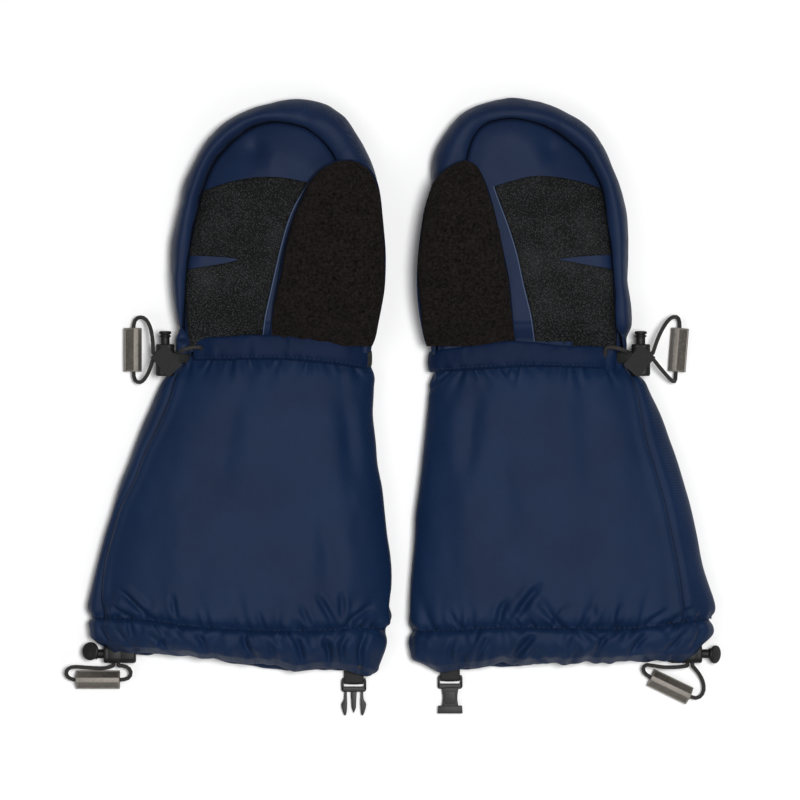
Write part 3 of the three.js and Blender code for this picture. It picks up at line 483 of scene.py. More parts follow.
# ------------------------------------------------------------------ outlines of each mitten, drafting units, drawn as the right-hand one
T = {
 "right": dict(
  handL=[(344,184),(336,181),(320,176),(308,174.3),(284,171.3),(260,170.3),(236,172.3),(212,177),(200,180.5),(188,183),(176,187.5),(164,192.3),(152,197.3),(140,205),(128,216),(120,226),(112,240),(106,254),(101,272),(98,291)],
  handR=[(344,369),(336,370),(320,371),(284,373),(236,375),(212,376.5),(188,378),(176,376.5),(164,372.5),(152,367),(140,360.5),(128,352.7),(116,344.5),(110,337),(104,328),(100,315),(98,300)],
  cuffL=[(322,181),(334,181.5),(345,184),(354,183.5),(362,178.5),(370,171.5),(380,163),(392,157),(404,152),(416,147),(428,142),(440,137),(464,128),(488,119),(512,112),(536,104.5),(560,98),(584,92),(600,89),(612,88.5),(622,90.5),(632,94),(644,99.5),(652,107),(664,120)],
  cuffR=[(322,370),(334,370.5),(345,370),(354,369),(362,371),(372,374.5),(392,374),(416,373),(440,375),(464,377),(488,382),(512,385),(536,388),(560,391),(590,391.3),(608,389.3),(625,388),(643,383),(656,380),(668,378.3),(676,373.5),(684,366)],
  seamC=[(322,196),(345,193),(356,187.5),(364,182),(378,174),(398,168.5),(426,157),(454,143.5),(480,133.8),(509,119.8),(536,111.5),(560,105),(605,101),(640,106)],
  stitch=[(80,618),(94,618),(142,618.5),(190,625),(241,628.5),(310,630),(360,628),(400,629)],
  hemF=[(88,646),(98,649.5),(110,651.5),(140,653),(172,655),(202,658),(222,659.5),(241,663.5),(262,664.5),(275,665),(286,669.5),(310,670.5),(330,668.5),(344,669.5),(358,674.5),(370,679),(384,680)],
  hemB=[(88,648),(110,653),(172,657),(205,659.5),(225,663),(250,667),(284,671),(344,671.5),(384,679)],
  seam=[(183,352),(184.3,300),(186,271),(190.5,240),(196,213),(202,187),(212,164),(222,151),(235,137),(254,125),(268,121.5),(283,121),(304,126),(315,132.5),(325,141.5),(333,153),(344,172),(355,200),(361,240),(364,290),(363,352)],
  rimdeep=1.0,
  patch_top=[(202,191),(220,185),(235,181),(252,178),(269,177),(288,178.5),(308,183)],
  patch_right=[(308,183),(300,196),(292,210),(284,233),(277,262),(269,298),(264,320),(262,339)],
  patch_left_up=[(189,256),(191,240),(194,222),(198,206),(202,191)],
  notch=[(186.5,269.5),(205,267),(222,264.3),(232,262.2),(238.5,260.4),(239.3,259.9),(238,259.2),(225,257.6),(206,256.6),(189,256)],
  patch_left_low=[(189.5,342),(187.5,325),(186,310),(185.3,290),(185.5,278),(186.5,269.5)],
  thumbL=[(347,268),(338,270.5),(334,271),(310,273),(281,279),(252,284),(225,292),(199,302),(183,309),(175,316),(170,321),(166,327),(163,334),(161.3,341),(160.8,347)],
  thumbR=[(347,372),(338,376),(325,378.3),(307,382),(290,385),(270,386),(252,386),(232,384.3),(214,382.5),(200,381.3),(185,378.5),(176,374.5),(170,370),(166,365),(163,360),(161.3,355),(160.8,351)],
  cas_top=[(190,340.5),(197,339),(225,336.5),(254,335),(292,336),(330,340.5),(363,346),(372,347)],
  cas_bot=[(190,362),(199,361),(225,360.5),(254,360),(292,361),(330,364.5),(362,369),(372,370)],
  cas=(196.5,363.5),
  strokes=[([(121,590),(133,601),(149,616)],1.5,1.5),([(112,604),(120,611),(131,617)],1.3,.9),([(174,596),(175,606),(178,618)],1.3,.9),([(318,596),(326,608),(333,622)],1.5,1.1),([(341,594),(343,606),(341,618)],1.3,1.0),([(370,606),(357,615),(346,626)],1.5,1.4),([(302,606),(306,616),(312,626)],1.3,.8),([(258,611),(262,620),(264,628)],1.2,.6),
     ([(152,634),(162,642),(171,652)],1.5,1.1),([(198,633),(206,643),(208,654)],1.4,.9),([(243,634),(247,646),(256,658)],1.6,1.2),([(268,640),(274,652),(276,662)],1.4,1.0),([(297,636),(300,648),(302,660)],1.7,1.5),([(322,638),(330,650),(328,662)],1.6,1.4),([(346,634),(340,646),(343,660)],1.6,1.4),([(364,636),(358,650),(362,666)],1.5,1.2),([(118,628),(126,638),(132,648)],1.4,.9),([(100,625),(104,634),(112,644)],1.3,.8),
     ([(345,400),(350,440),(352,480)],4.5,.8),([(232,395),(226,440),(222,500)],7,.7),([(322,520),(330,560),(328,596)],5,.9),([(292,430),(296,480),(290,540)],8,.6)],
 ),
 "left": dict(
  handL=[(344,172),(336,172.5),(320,173),(308,173.3),(296,175),(284,177.7),(272,178),(260,177.3),(236,177.2),(212,178.3),(200,181),(188,184.5),(176,189),(164,194),(152,199),(140,205.5),(128,215),(120,225),(112,239),(104,253),(99,271),(96,290)],
  handR=[(344,381),(336,382),(320,382),(260,382),(224,380),(200,377.5),(188,375.5),(176,374.3),(164,374),(152,371.5),(140,366),(128,358.5),(116,348),(108,337),(101,318),(96,300)],
  cuffL=[(322,178),(334,180),(345,183),(354,181),(364,176),(372,169),(380,162),(392,156),(404,150),(416,144.5),(428,140),(440,136),(464,128),(488,121),(512,114.5),(536,109),(560,103.5),(584,96.5),(600,92.5),(610,92.5),(622,95),(634,97.5),(644,103),(654,110),(664,122)],
  cuffR=[(322,372),(334,373),(345,373),(354,372),(364,374),(380,377),(404,379),(428,381),(464,384),(488,386),(512,389),(536,390),(560,392),(584,394),(610,395),(634,395),(648,392.5),(660,388),(670,379),(680,370)],
  seamC=[(322,198),(345,190),(356,183),(364,178.5),(372,175),(400,167),(437,160),(470,150.5),(499,142),(530,135),(554,130),(580,125.5),(604,123),(640,124)],
  stitch=[(80,619),(98,619.5),(125,621.5),(157,626),(232,627.5),(306,626.5),(345,629),(381,631),(400,632)],
  hemF=[(90,652),(100,658),(110,660.5),(130,661.5),(152,660.5),(180,661.5),(205,664.5),(222,661.5),(240,663.5),(262,662),(285,664.5),(306,664),(325,668.5),(336,668),(352,671),(364,673.5),(376,672),(388,668)],
  hemB=[(90,652),(110,660),(152,662),(232,663.5),(306,668.5),(336,670.5),(364,672),(388,666)],
  seam=[(188,352),(190,329),(192,290),(194,252),(198,223),(203,187),(211,172),(224,151),(243,135),(258,126),(272,121),(291,117),(308,118.5),(322,123),(333,134),(339,152),(343,172),(355,200),(363,240),(366,290),(366,352)],
  rimdeep=0.75,
  patch_top=[(203,189),(218,184),(234,180),(252,177),(272,176),(292,180.5),(312,187)],
  patch_right=[(312,187),(306,204),(299,222),(289,252),(282,287),(277,306),(274,319),(270,347)],
  patch_left_up=[(194.5,255),(197,240),(198.3,225),(199,205),(203,189)],
  notch=[(190.5,270),(205,267.5),(222,264.8),(235,262.2),(246.5,260.5),(247.5,260),(246.5,259.3),(230,257.3),(210,256),(194.5,255)],
  patch_left_low=[(189.5,345),(189,325),(189.3,305),(189.8,285),(190,277),(190.5,270)],
  thumbL=[(350,289),(338,291),(320,293),(300,295),(281,297),(262,301),(243,305),(222,309.5),(204,314),(188,319),(176,324),(170,327.5),(165,332),(162.8,337),(162,341)],
  thumbR=[(350,378),(340,382),(325,385.3),(307,388),(290,389.3),(270,389.2),(252,388),(232,385.5),(214,382.8),(200,379),(187,374.5),(179,370),(173,364.5),(168,358),(164.5,352),(162.8,347.5),(162,344)],
  cas_top=[(196,348.5),(205,347),(243,346),(270,342.5),(293,341),(330,345),(372,351),(380,352)],
  cas_bot=[(196,369),(203,369),(240,368),(272,367),(310,369),(345,371),(377,373),(384,374)],
  cas=(203.5,371.5),
  strokes=[([(268,586),(280,600),(292,618)],1.9,1.6),([(300,600),(306,610),(306,622)],1.5,1.0),([(240,606),(248,614),(252,624)],1.3,.8),([(140,610),(150,616),(160,624)],1.5,1.1),([(186,606),(190,616),(190,624)],1.3,.8),([(110,606),(122,612),(130,619)],1.4,1.0),([(356,612),(352,620),(346,628)],1.4,.9),([(214,606),(212,614),(214,624)],1.2,.6),
     ([(318,636),(324,648),(330,662)],1.6,1.2),([(272,634),(284,646),(290,658)],1.8,1.5),([(232,634),(238,646),(240,657)],1.4,.9),([(196,632),(206,642),(210,654)],1.4,1.0),([(160,632),(170,643),(178,655)],1.5,1.1),([(120,630),(130,642),(142,652)],1.5,1.1),([(352,640),(356,652),(352,664)],1.4,.9),([(104,628),(110,640),(118,650)],1.3,.8),
     ([(330,392),(336,430),(338,480)],5,.8),([(222,392),(216,440),(212,500)],7,.7),([(300,430),(304,490),(296,550)],8,.6)],
 ),
}

# heights, shared by both (mm against y)
hand_top = tab([(22, 24.4), (34, 25.0), (42, 26.4), (56, 27.4), (80, 27.6), (110, 27.4), (132, 26.6), (146, 24.5), (153, 21), (156.5, 18)])
cuff_top = tab([(-145, 20), (-136, 23.0), (-128, 27.2), (-120, 29.6), (-112, 31.2), (-90, 33.4), (-60, 33.6), (-30, 32.0), (0, 29.2), (12, 27.0), (20, 25.2), (27, 24.4), (42, 24.4)])
cuff_bot = tab([(-145, 3.0), (-136, 1.2), (-126, 0.15), (-60, 0), (-20, 0), (0, 0.1), (8, 1.2), (15, 3.2), (20, 4.4), (42, 4.6)])
cuff_mid = tab([(-145, 11), (-110, 12), (-60, 11.5), (0, 10.5), (42, 10.5)])


def superring(L, R, top, bot, mid, th, nx=2.4, nt=2.08, nb=3.2):
    cx, a = (L + R) / 2, (R - L) / 2
    c, s = np.cos(th), np.sin(th)
    x = cx + a * np.sign(c) * np.abs(c) ** (2 / nx)
    z = np.where(s >= 0, mid + (top - mid) * np.abs(s) ** (2 / nt), np.maximum(mid - (mid - bot) * 1.14 * np.abs(s) ** (2 / nb), bot))
    return x, z


def theta_of_x(x, L, R, nx=2.4):
    cx, a = (L + R) / 2, (R - L) / 2
    q = np.clip((x - cx) / a, -0.999, 0.999)
    return np.arccos(np.sign(q) * np.abs(q) ** (nx / 2))


def even_theta(t0, t1, n, L=-155.0, R=-10.0, top=33.5, bot=0.0, mid=11.5):
    """fractions between two angles that are even along the section's own line"""
    th = np.linspace(t0, t1, 600)
    x, z = superring(L, R, top, bot, mid, th)
    s = np.concatenate([[0], np.cumsum(np.hypot(np.diff(x), np.diff(z)))])
    return (np.interp(np.linspace(0, s[-1], n), s, th) - t0) / (t1 - t0)


SEAM_TH = 2.55  # a reference only


def cuff_grid(side, part, rows, y_hi, off=0.0, y_lo=None):
    """points of a cuff panel: rows from the wrist down to the hem's stitching, columns round the cuff"""
    t = T[side]
    L, R, S = (side_table(t[k]) for k in ("cuffL", "cuffR", "seamC"))
    stitch = poly_table(t["stitch"])
    cols = 160 if part == "palm" else 190
    f = even_theta(0.0, SEAM_TH, cols) if part == "palm" else even_theta(SEAM_TH, 2 * math.pi, cols)
    P = np.zeros((rows, cols, 3)); U = np.zeros((rows, cols))
    for i, v in enumerate(np.linspace(0, 1, rows)):
        yn = y_hi + (-116.0 - y_hi) * v
        y = np.full(cols, yn)
        for _ in range(3):
            Ly, Ry = L(y), R(y)
            ts = theta_of_x(S(y), Ly, Ry)
            th = f * ts if part == "palm" else ts + f * (2 * math.pi - ts)
            x, z = superring(Ly - off, Ry + off, cuff_top(y) + off, cuff_bot(y) - off, cuff_mid(y), th)
            y = y_hi + ((stitch(x) if y_lo is None else y_lo) - y_hi) * v
        P[i] = np.stack([x, y, z], 1)
        U[i] = th
    return P, U


def outward(P, flip=None):
    n = grid_normals(P)
    c = P.reshape(-1, 3).mean(0)
    return n


def puff_cuff(side, P, part):
    """padding, soft folds, gathers at the seams"""
    t = T[side]
    n = grid_normals(P)
    # make the normals point out: top side up
    s = np.sign((n[..., 2] * (P[..., 2] - 12.0)).sum())
    n *= s if s else 1
    x, y, z = P[..., 0], P[..., 1], P[..., 2]
    stitch = poly_table(t["stitch"])
    d = y - stitch(x)
    seed = 1.3 if side == "right" else 5.9
    topside = sm(9, 15, z)
    out = 0.9 * fbm(x * 1.0, y * 0.28, z, 26, 2, seed) + 0.35 * fbm(x, y * 0.6, z, 11, 2, seed + 2)
    # gathers that run up from the stitching, irregular
    g = fbm(x * 1.0, y * 0.12, z * 1.0, 7.0, 2, seed + 4)
    out += 1.15 * g * np.exp(-np.maximum(d, 0) / 9.0)
    g2 = fbm(x * 1.0, y * 0.15, z * 1.0, 3.1, 1, seed + 9)
    out += 0.45 * g2 * np.exp(-np.maximum(d, 0) / 3.5)
    out += folds(x, y, t["strokes"], 1.5) * topside
    q1 = gathers(x, np.maximum(d, 0), seed + (0.1 if part == "palm" else 0.5), 9.0, (0.8, 1.9), (5, 17), (0.5, 1.7), 0.55)
    out += q1 + gathers(x, np.maximum(d, 0), seed + 0.9, 4.5, (0.5, 0.9), (2, 5), (0.25, 0.7), 0.4)
    # broad hang of the padded panel
    out += 1.0 * fbm(x, y * 0.22, z, 34, 2, seed + 20) * sm(0, 30, d)
    # drawn in at the stitching and at the wrist
    out += -1.5 * np.exp(-(d / 2.2) ** 2) + 0.5 * np.exp(-((d - 6) / 3.5) ** 2)
    # gathers under the wrist casing
    top = poly_table(t["cas_bot"])(x)
    e = np.maximum(top - y, 0)
    out += (0.55 * fbm(x, y * 0.1, z, 6.0, 2, seed + 3) - 0.9) * np.exp(-e / 4.0)
    out += gathers(x, e, seed + 0.33, 7.0, (0.7, 1.5), (3, 11), (0.4, 1.2), 0.5)
    # panel edges turn in at the long seams
    cols = P.shape[1]
    seg = np.linalg.norm(np.diff(P, axis=1), axis=2)
    arc = np.concatenate([np.zeros((P.shape[0], 1)), np.cumsum(seg, axis=1)], axis=1)
    e0, e1 = arc, arc[:, -1:] - arc
    if part == "palm":   # column 0 at the thumb side, last column at the long outer seam
        out += -1.0 * np.exp(-(e0 / 1.4) ** 2) + 0.3 * np.exp(-((e0 - 4) / 2.5) ** 2)
        out += -0.9 * np.exp(-(e1 / 1.0) ** 2) + 0.9 * np.exp(-((e1 - 3.0) / 2.6) ** 2)
    else:
        out += -1.9 * np.exp(-(e0 / 1.8) ** 2) + 0.25 * np.exp(-((e0 - 5) / 2.5) ** 2)
        out += -1.0 * np.exp(-(e1 / 1.4) ** 2) + 0.3 * np.exp(-((e1 - 4) / 2.5) ** 2)
    Q = P + n * out[..., None]
    Q[..., 2] = np.maximum(Q[..., 2], 0.12)
    return Q, n


def build_cuff(side):
    p = side + "_"
    for part, node in (("palm", "cuff_palm_panel"), ("back", "cuff_back_panel")):
        P, U = cuff_grid(side, part, 160, 30.0)
        Q, n = puff_cuff(side, P, part)
        rows, cols = Q.shape[:2]
        # hidden turnings at the two long edges
        ins = [Q[:, [0]] - n[:, [0]] * 1.6, Q, Q[:, [-1]] - n[:, [-1]] * 1.6]
        Q = np.concatenate(ins, axis=1)
        o = mk(p + node + "_fabric", Q, grid_faces(rows, cols + 2, flip=True), side, p + "cuff", NAVY, nodes=[p + node])
    # lining tube
    rows = []
    t = T[side]
    L, R = side_table(t["cuffL"]), side_table(t["cuffR"])
    n = 96
    th = even_theta(0, 2 * math.pi, n + 1)[:-1] * 2 * math.pi
    ys = np.linspace(26.5, -119, 60)
    P = []
    for y in ys:
        off = -5.2
        x, z = superring(L(y) - off, R(y) + off, cuff_top(y) + off, cuff_bot(y) - off, cuff_mid(y), th)
        q = 0.6 * fbm(x, np.full(n, y) * 0.5, z, 9, 2, 2.2)
        P.append(np.stack([x, np.full(n, y), z + q], 1))
    P = np.array(P)
    o = mk(p + "cuff_lining_knit", P, grid_faces(60, n, wrap=True), side, p + "cuff", LINING, nodes=[p + "cuff_lining"])


PADC = {"right": (-161.5, -129.8, 12.2), "left": (-161.4, -131.6, 10.2)}
PADN = {"right": (-0.42, 0.12, 0.9), "left": (-0.80, -0.05, 0.60)}


def make_room(P, side):
    """the fabric gives way round the hem lock's button and its thumb pad, over the button's whole travel"""
    a, b = np.array([HL[0] - 24.5, HL[1], HL[2]]), np.array([HL[0] - 13.5, HL[1], HL[2]])
    t = np.clip(((P - a) @ (b - a)) / ((b - a) @ (b - a)), 0, 1)
    q = P - (a + t[..., None] * (b - a)); d = np.linalg.norm(q, axis=-1)
    if side == "right":
        P = P + q / np.maximum(d, 1e-6)[..., None] * np.clip(4.3 - d, 0, None)[..., None]
    else:
        # here the hem covers the button: one layer passes over it and one under it
        h = np.hypot(q[..., 0], q[..., 1])
        lift = np.sqrt(np.clip(4.4 ** 2 - h ** 2, 0, None))
        dz = np.where(q[..., 2] > -1.0, np.clip(lift - q[..., 2], 0, None), -np.clip(lift + q[..., 2], 0, None))
        P = P + np.stack([0 * dz, 0 * dz, dz], -1)
    n = np.array(PADN[side]); n = n / np.linalg.norm(n)
    c = np.array(PADC[side])
    x = np.clip(P[..., 0], c[0], c[0] + 3.3)
    q = P - np.stack([x, np.full_like(x, c[1]), np.full_like(x, c[2])], -1)
    nd = q @ n; rd = np.linalg.norm(q - nd[..., None] * n, axis=-1)
    f = np.clip((7.0 - rd) / 1.4, 0, 1) * (nd > -2.6) * (nd < 4.5)
    return P - n * ((nd + 2.6) * f)[..., None]


def build_hem(side):
    """the folded channel: outside face from the stitching to the gathered edge, round it and up inside"""
    t = T[side]; p = side + "_"
    L, R = side_table(t["cuffL"]), side_table(t["cuffR"])
    stitch, hemF, hemB = poly_table(t["stitch"]), poly_table(t["hemF"]), poly_table(t["hemB"])
    n = 340
    th = even_theta(0, 2 * math.pi, n + 1)[:-1] * 2 * math.pi
    seed = 3.1 if side == "right" else 8.7
    rows_out, rows_in = 34, 14
    P = []
    yn0 = -117.0
    for i in range(rows_out + rows_in):
        if i < rows_out:
            v = i / (rows_out - 1); inside = 0.0
        else:
            k = (i - rows_out + 1) / rows_in; v = 1.0; inside = k
        y = np.full(n, -117.0 - 18.0 * v)
        for _ in range(3):
            x, z = superring(L(y), R(y), cuff_top(y), cuff_bot(y), cuff_mid(y), th)
            w = sm(8, 15, z)  # 1 on the palm side
            lower = hemF(x) * w + hemB(x) * (1 - w)
            y = stitch(x) + (lower - stitch(x)) * v
        out = 2.6 * np.sin(np.pi * np.clip(v, 0, 1) ** 0.8) ** 0.8 if inside == 0 else 0.0
        g = fbm(x, np.full(n, 0.0), z, 7.5, 2, seed); g2 = fbm(x, y * 0.25, z, 4.2, 2, seed + 3)
        wave = (1.5 * g + 0.7 * g2)
        amp = (0.35 + 0.65 * np.sin(np.pi * min(v * 0.85, 1)))
        down = np.full(n, v * 20.0)
        pin = gathers(x, down, seed + 0.2, 8.0, (0.8, 1.7), (5, 14), (0.5, 1.6), 0.6) + 1.15 * gathers(x, 20.0 - down, seed + 0.7, 9.0, (1.1, 2.4), (6, 17), (0.6, 1.9), 0.5)
        d = out + wave * amp + folds(x, y, t["strokes"], 1.7) * w + pin * (1 if inside == 0 else 0.8)
        d = d - 1.5 * math.exp(-(v * 22 / 2.2) ** 2)
        d = d - 3.0 * max(v - 0.82, 0) / 0.18 * (1 if inside == 0 else 1)
        if inside > 0:
            d = d - 4.6 * math.sin(min(inside * 2.2, 1) * math.pi / 2)
            y = y + 15 * max(inside - 0.12, 0) - 0.8 * math.sin(inside * math.pi) * (inside < 0.3)
        # edge undulates lengthwise too
        y = y + (1.1 * fbm(x, z * 0.6, z * 0, 9.0, 2, seed + 6) + 0.7 * fbm(x, z * 0.6, z * 0, 4.0, 1, seed + 7)) * v * (1 - inside)
        cx, cz = (L(y) + R(y)) / 2, cuff_mid(y)
        nx_, nz_ = (x - cx) / ((R(y) - L(y)) / 2) ** 1.7, (z - cz) / np.where(z > cz, cuff_top(y) - cz, cz - cuff_bot(y)) ** 1.3
        ln = np.hypot(nx_, nz_) + 1e-9
        x2, z2 = x + d * nx_ / ln, z + d * nz_ / ln
        z2 = np.maximum(z2, 0.15)
        P.append(np.stack([x2, y, z2], 1))
    P = make_room(np.array(P), side)
    P[..., 2] = np.maximum(P[..., 2], 0.15)
    o = mk(p + "hem_casing_fabric", P, grid_faces(P.shape[0], n, wrap=True, flip=False), side, p + "cuff", NAVY, nodes=[p + "hem_casing"], subsurf=1)
    # the hem drawcord hides inside
    C = P[rows_out - 8].copy()
    cen = C.mean(0)
    C = cen + (C - cen) * np.array([0.93, 1, 0.74])
    tube_mesh(p + "hem_drawcord_braid", C[12:-12:6], 1.1, side, p + "cuff", CORD, [p + "hem_drawcord"])
    return P


def tube_mesh(name, pts, r, side, body, mat, nodes=(), seg=10, closed=False):
    pts = np.array(pts, float)
    # resample smoothly
    c = smooth_poly(pts, 2)
    n = len(c)
    tan = np.gradient(c, axis=0); tan /= np.linalg.norm(tan, axis=1, keepdims=True)
    up = np.array([0.13, 0.2, 1.0]); ref = []
    prev = np.cross(tan[0], up); prev /= np.linalg.norm(prev)
    V = []
    for i in range(n):
        a = prev - tan[i] * (prev @ tan[i]); a /= np.linalg.norm(a); prev = a
        b = np.cross(tan[i], a)
        for k in range(seg):
            w = 2 * math.pi * k / seg
            V.append(c[i] + r * (math.cos(w) * a + math.sin(w) * b))
    F = grid_faces(n, seg, wrap=True)
    V += [c[0], c[-1]]
    for k in range(seg):
        F.append((len(V) - 2, (k + 1) % seg, k)); F.append((len(V) - 1, (n - 1) * seg + k, (n - 1) * seg + (k + 1) % seg))
    o = mk(name, V, F, side, body, mat, nodes=nodes)
    b2 = bmesh.new(); b2.from_mesh(o.data); bmesh.ops.recalc_face_normals(b2, faces=b2.faces); b2.to_mesh(o.data); b2.free()
    return o


def stitches(name, pts, side, body, mat, pitch=2.6, length=1.7, r=0.22):
    """a row of thread dashes along 3-D points"""
    pts = np.array(pts, float)
    seg = np.linalg.norm(np.diff(pts, axis=0), axis=1); s = np.concatenate([[0], np.cumsum(seg)])
    V, F = [], []
    at = lambda q: np.array([np.interp(q, s, pts[:, k]) for k in range(3)])
    q = 0.5
    while q + length < s[-1]:
        a, b = at(q), at(q + length)
        d = b - a; L = np.linalg.norm(d)
        if L > 1e-6:
            d /= L; u = np.cross(d, [0, 0, 1.0]); u /= max(np.linalg.norm(u), 1e-6); w = np.cross(u, d)
            base = len(V)
            rings = [(0.0, 0.25), (0.2, 0.85), (0.5, 1.0), (0.8, 0.85), (1.0, 0.25)]
            for f, k in rings:
                c = a + (b - a) * f + w * 0.0
                for m in range(6):
                    an = 2 * math.pi * m / 6
                    V.append(c + r * k * (math.cos(an) * u + math.sin(an) * w))
            for i in range(4):
                for m in range(6):
                    F.append((base + i*6 + m, base + i*6 + (m+1) % 6, base + (i+1)*6 + (m+1) % 6, base + (i+1)*6 + m))
            F.append(tuple(base + m for m in range(6))[::-1]); F.append(tuple(base + 24 + m for m in range(6)))
        q += pitch
    return mk(name, V, F, side, body, mat)



# ------------------------------------------------------------------ cord locks, loops and beads: the routes the CAD cords take
WL = (float(gx(165.2)), float(gy(376)), 20.0)
HL = (float(gx(114.6)) + 10.3, float(gy(655)), 9.0)
LOCK_W, LOCK_H, CORD_Y0, CORD_R = 9.6, 16.4, 10.3, 1.0
WCY = WL[1] + CORD_Y0
HCX = HL[0] - CORD_Y0
BEAD_L, BEAD_R = 22.6, 6.1
SPEC = {
 "right": dict(wrist1=[(152,337.4,17.1),(149.3,326.4,14.4),(144.9,319.2,11.6),(140.6,316.8,9.5),(136.2,317.4,7.7),(133.3,320.3,6.6)], wristBead=(132,349.5,6.2,-math.pi/2,0), wrist2=[(132.7,378.1,6.6),(134.5,380.9,7.7),(137.6,382.3,9.5),(141,381.4,11.6),(145.2,377,14.4),(149.2,369.7,17.1)],
   hem1=[(104.7,669.1,10),(93.3,669.1,11.3),(82,668.2,12.1),(73.1,667.8,12.2),(68.8,668.7,11.8),(65.7,671.2,10.6),(64.6,674.7,9.1),(65.7,678.1,7.5),(68.8,680.6,6.3)], hemBead=(96,681.5,5.9,0,0), hem2=[(126.9,679.6,6.2),(129.4,674.4,7.2),(126.9,669.3,8.2),(121.8,667.2,8.8)]),
 "left": dict(wrist1=[(147.9,338.3,19.3),(142.4,327.4,17.5),(136.5,319.7,14.7),(131.8,316.6,11.9),(127.6,316.7,9),(125.2,319.6,7.1)], wristBead=(126.5,349.5,6.2,-1.49,0), wrist2=[(128.8,377.6,6.8),(129.3,380.3,8.1),(130.8,381.5,10.3),(133.3,380.4,12.6),(138,376.2,15.4),(144.4,369.2,17.9)],
   hem1=[(105.2,675.4,6.7),(101.3,682.8,5.6),(100,689.9,5.2),(101,694.9,5.2),(103.9,698.5,5.5),(107.6,699.9,5.8)], hemBead=(134,688.5,6,0.45,0), hem2=[(160.1,674.2,6.8),(161.4,669.1,8.8),(158.7,666,10.8),(153.3,666.4,11.7),(142.8,668,11.7),(131.2,668.3,10.9),(122.2,667.8,9.8)]),
}


def catmull(pts, n):
    """centripetal spline through pts, n points even along it"""
    P = np.array(pts, float)
    P = np.vstack([2 * P[0] - P[1], P, 2 * P[-1] - P[-2]])
    out = []
    for i in range(1, len(P) - 2):
        p0, p1, p2, p3 = P[i-1:i+3]
        t0 = 0; t1 = t0 + np.linalg.norm(p1-p0) ** 0.5; t2 = t1 + np.linalg.norm(p2-p1) ** 0.5; t3 = t2 + np.linalg.norm(p3-p2) ** 0.5
        for t in np.linspace(t1, t2, 16, endpoint=False):
            A1 = (t1-t)/(t1-t0)*p0 + (t-t0)/(t1-t0)*p1; A2 = (t2-t)/(t2-t1)*p1 + (t-t1)/(t2-t1)*p2; A3 = (t3-t)/(t3-t2)*p2 + (t-t2)/(t3-t2)*p3
            B1 = (t2-t)/(t2-t0)*A1 + (t-t0)/(t2-t0)*A2; B2 = (t3-t)/(t3-t1)*A2 + (t-t1)/(t3-t1)*A3
            out.append((t2-t)/(t2-t1)*B1 + (t-t1)/(t2-t1)*B2)
    out.append(P[-2])
    out = np.array(out)
    s = np.concatenate([[0], np.cumsum(np.linalg.norm(np.diff(out, axis=0), axis=1))])
    q = np.linspace(0, s[-1], n)
    return np.stack([np.interp(q, s, out[:, k]) for k in range(3)], 1), s[-1]


def world(p, side):
    x, y, z = p
    return ((-x if side == "left" else x) / 1000, (y + SHIFT) / 1000, z / 1000)


def bead_obj(name, side, centre, direction, roll, body, node):
    bm = bmesh.new()
    R = BEAD_R * 1.14
    v = lambda t: np.array([R * math.cos(t), R * math.sin(t)])
    out = []
    for i in range(3):
        t = -math.pi / 2 + i * 2 * math.pi / 3
        a, p, q = v(t), v(t - 2 * math.pi / 3), v(t + 2 * math.pi / 3)
        out += [a + (p - a) * 0.2, a + (q - a) * 0.2]
    # outline order (counter-clockwise)
    out = sorted(out, key=lambda w: math.atan2(w[1], w[0]))
    inner = [(1.5 * math.cos(k * 2 * math.pi / 24), 1.5 * math.sin(k * 2 * math.pi / 24)) for k in range(24)]
    bm.free()
    bm = prism_bm([tuple(o) for o in out], -BEAD_L / 2, BEAD_L / 2, inner)
    # raised rims on the three long faces: inset each and push the middle in
    bm.faces.ensure_lookup_table()
    bmesh.ops.recalc_face_normals(bm, faces=bm.faces)
    bm.normal_update()
    longf = [f for f in bm.faces if f.calc_area() > 60 and abs(f.normal.z) < 0.3]
    for f in longf:
        bmesh.ops.inset_individual(bm, faces=[f], thickness=0.75, depth=0)
        bmesh.ops.inset_individual(bm, faces=[f], thickness=0.3, depth=-0.35)
    d = np.array(direction, float); d /= np.linalg.norm(d)
    rot = Vector((1, 0, 0)).rotation_difference(Vector(d)).to_matrix()
    rollm = Matrix.Rotation(roll, 3, "X")
    # the prism was built along z: turn it along x first
    base = Matrix.Rotation(math.pi / 2, 3, "Y")
    M3 = np.array(rot @ rollm @ base)
    o = bm_obj(bm, name, side, lambda p: p @ M3.T + np.array(centre), body, PEWTER, nodes=[node], smooth=False)
    bevel(o, 0.35, 3, 0.5)
    o.data.polygons.foreach_set("use_smooth", np.ones(len(o.data.polygons), bool))
    return o


